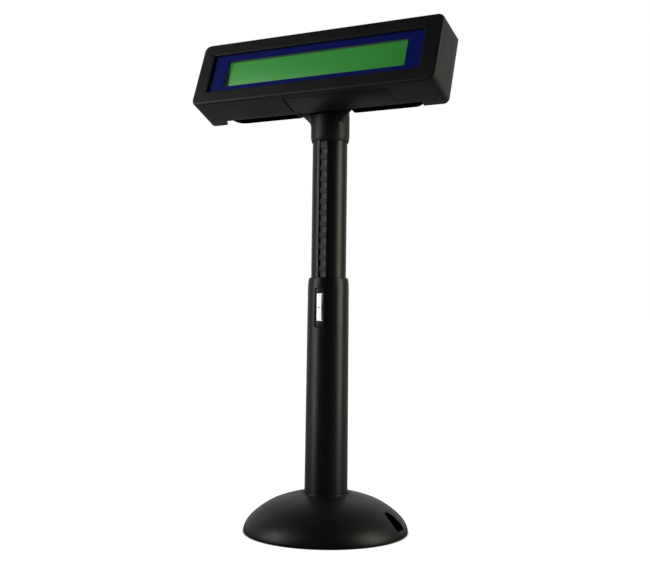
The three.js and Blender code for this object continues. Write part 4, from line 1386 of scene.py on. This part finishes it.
# (x, y, z) down the pole, and the run to the data socket
POLE_LEAD = [(0, -1, 344.6), (0, -0.5, 330), (0.5, 1, 250), (-0.5, 1, 150), (0, 0, 60),
             (0, 0, 30), (2, -1, 22)]
SOCKET_LEAD = [(25.0, 0.8, 11.4), (32.3, 3.1, 11.6)]


def head_lead():
    lead = cable("head_lead_cable", [head(point) for point in HEAD_LEAD], 1.4, 14, 1.2)
    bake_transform(lead)
    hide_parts("head_lead")


def pole_lead():
    """down the pole, round a widening coil in the base, out to the data socket"""
    coil = []
    for i in range(10):
        grown = min(i, 3)
        coil.append(tuple(polar(8 + grown * 6, -75 - i * 30, 15.5 - grown * 1.4)))
    lead = cable("pole_lead_cable", POLE_LEAD + coil + SOCKET_LEAD, 2.4, 16, 2.4)
    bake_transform(lead)
    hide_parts("pole_lead")


def data_socket():
    socket = prism(rect(33.2, 47, -8, 8), along_z, 6.5, 18.2, "data_socket_body")
    boolean(socket, prism(rect(36.5, 48, -5.9, 5.9), along_z, 8.4, 15.2))
    boolean(socket, prism(rect(36.5, 48, -2.4, 2.4), along_z, 15, 16.8))
    bevel(socket, 0.3, 2, 45)
    place(socket, lambda points: turn_z(points, SOCKET_TURN))
    # guards against a slot already made by the booleans
    if not len(socket.data.materials):
        socket.data.materials.append(COMPONENT)
    add(socket, "base", "data_socket")


def inline_connector():
    """box with an open top and a shallow recess at each end"""
    shell = prism(rect(-9.4, 9.4, -4, 2), along_z, 345, 358, "inline_connector_shell", COMPONENT)
    boolean(shell, prism(rect(-8.4, 8.4, -3, 1), along_z, 355.9, 359))
    boolean(shell, prism(rect(-10, -9.0, -1.5, 0.5), along_z, 347, 353))
    boolean(shell, prism(rect(9.0, 10, -1.5, 0.5), along_z, 347, 353))
    bevel(shell, 0.2, 2, 45)
    add(shell, "neck", "inline_connector")


def board_connector():
    shell = prism(rect(-41, -27, -18, -12.5), along_depth, 21.15, 27.5, "board_connector_shell",
                  NATURAL)
    boolean(shell, prism(rect(-40, -28, -17, -13.5), along_depth, 24, 29))
    bevel(shell, 0.2, 2, 45)
    add(shell, "head", "board_connector")


slide_bush()
swivel_parts()
head_lead()
pole_lead()
data_socket()
inline_connector()
board_connector()


# ------------------------------------------------------------------ stage, light, camera (metres)
def build_floor():
    """pale floor; to all but camera rays it shines brighter behind the object"""
    half = 6.0
    mesh = bpy.data.meshes.new("floor")
    mesh.from_pydata([(x, y, 0) for x, y in rect(-half, half, -half, half)], [], [(0, 1, 2, 3)])
    floor = bpy.data.objects.new("floor", mesh)
    bpy.context.scene.collection.objects.link(floor)
    material, shader = new_material("pale_floor")
    shader.tree.nodes.clear()
    output = shader.node("OutputMaterial")
    diffuse = shader.node("BsdfDiffuse", {"Color": (0.22, 0.22, 0.22)})
    coords = shader.coords()
    others = shader.towards_back(coords, source=(-0.05, 0.40), target=(0.010, 0.26))
    strength = shader.by_ray(camera=1.05, others=others)
    # nothing shines under the foot itself, and the glow fades out to 70 mm from the axis: painted
    # shade inside the base and a painted contact shadow round its rim
    length = shader.node("VectorMath", {0: coords}, operation="LENGTH").outputs["Value"]
    clear = shader.remap(length, (0.0680, 0.0700))
    glow = shader.node("Emission", {"Strength": shader.math("MULTIPLY", strength, clear),
                                    "Color": (1, 1, 1)})
    both = shader.node("AddShader", {0: diffuse.outputs[0], 1: glow.outputs[0]})
    shader.fill(output, {"Surface": both.outputs[0]})
    mesh.materials.append(material)


def build_world():
    """white to the camera; to other rays dim, and brighter behind the object"""
    world = bpy.context.scene.world or bpy.data.worlds.new("studio")
    bpy.context.scene.world = world
    world.use_nodes = True
    shader = Shader(world.node_tree)
    shader.tree.nodes.clear()
    output = shader.node("OutputWorld")
    others = shader.towards_back(shader.coords("Generated"), source=(0.05, 0.95),
                                 target=(0.012, 0.55))
    strength = shader.by_ray(camera=1.0, others=others)
    background = shader.node("Background", {"Strength": strength, "Color": (1, 1, 1)})
    shader.fill(output, {"Surface": background.outputs[0]})


def panel(name, azimuth, width, radiance, colour=(1, 1, 1), height=0.86, distance=0.95,
          z=0.48, aim=(0, 0, 0.26)):
    """soft upright panel facing aim; azimuth in degrees, 0 at -Y and 90 at +X"""
    light = bpy.data.lights.new(name, "AREA")
    light.shape = "RECTANGLE"
    light.size, light.size_y = width, height
    light.energy = radiance * math.pi * width * height
    light.color = colour
    lamp = bpy.data.objects.new(name, light)
    bpy.context.scene.collection.objects.link(lamp)
    lamp.location = (distance * math.sin(rad(azimuth)), -distance * math.cos(rad(azimuth)), z)
    lamp.rotation_mode = "QUATERNION"
    lamp.rotation_quaternion = (Vector(aim) - lamp.location).to_track_quat("-Z", "Y")


def build_camera(azimuth, distance, height, yaw, pitch, roll):
    """azimuth as for the panels; yaw turns the view from the Z axis; angles in radians"""
    position = Vector((distance * math.sin(azimuth), -distance * math.cos(azimuth), height)) * MM
    forward = Vector((-math.sin(azimuth + yaw) * math.cos(pitch),
                      math.cos(azimuth + yaw) * math.cos(pitch), math.sin(pitch)))
    level = forward.cross(Vector((0, 0, 1))).normalized()
    above = level.cross(forward)
    right = level * math.cos(roll) + above * math.sin(roll)
    top = -level * math.sin(roll) + above * math.cos(roll)
    data = bpy.data.cameras.new("camera")
    data.lens, data.sensor_width, data.sensor_fit = 53.424, 36.0, "HORIZONTAL"
    data.clip_start, data.clip_end = 0.01, 50
    camera = bpy.data.objects.new("camera", data)
    bpy.context.scene.collection.objects.link(camera)
    rows = [(right[i], top[i], -forward[i], position[i]) for i in range(3)]
    camera.matrix_world = Matrix((*rows, (0, 0, 0, 1)))
    bpy.context.scene.camera = camera


build_floor()
build_world()
panel("left_panel", azimuth=-50, width=0.50, radiance=2.75)
panel("right_panel", azimuth=99, width=0.40, radiance=4.0, colour=(1.0, 1.06, 0.88))
# distance and height in millimetres
build_camera(azimuth=rad(26.9503), distance=815.694, height=174.014, yaw=rad(0.2057),
             pitch=rad(2.4505), roll=rad(0.7030))
bpy.context.scene.view_settings.view_transform = "Standard"
bpy.context.scene.view_settings.look = "None"
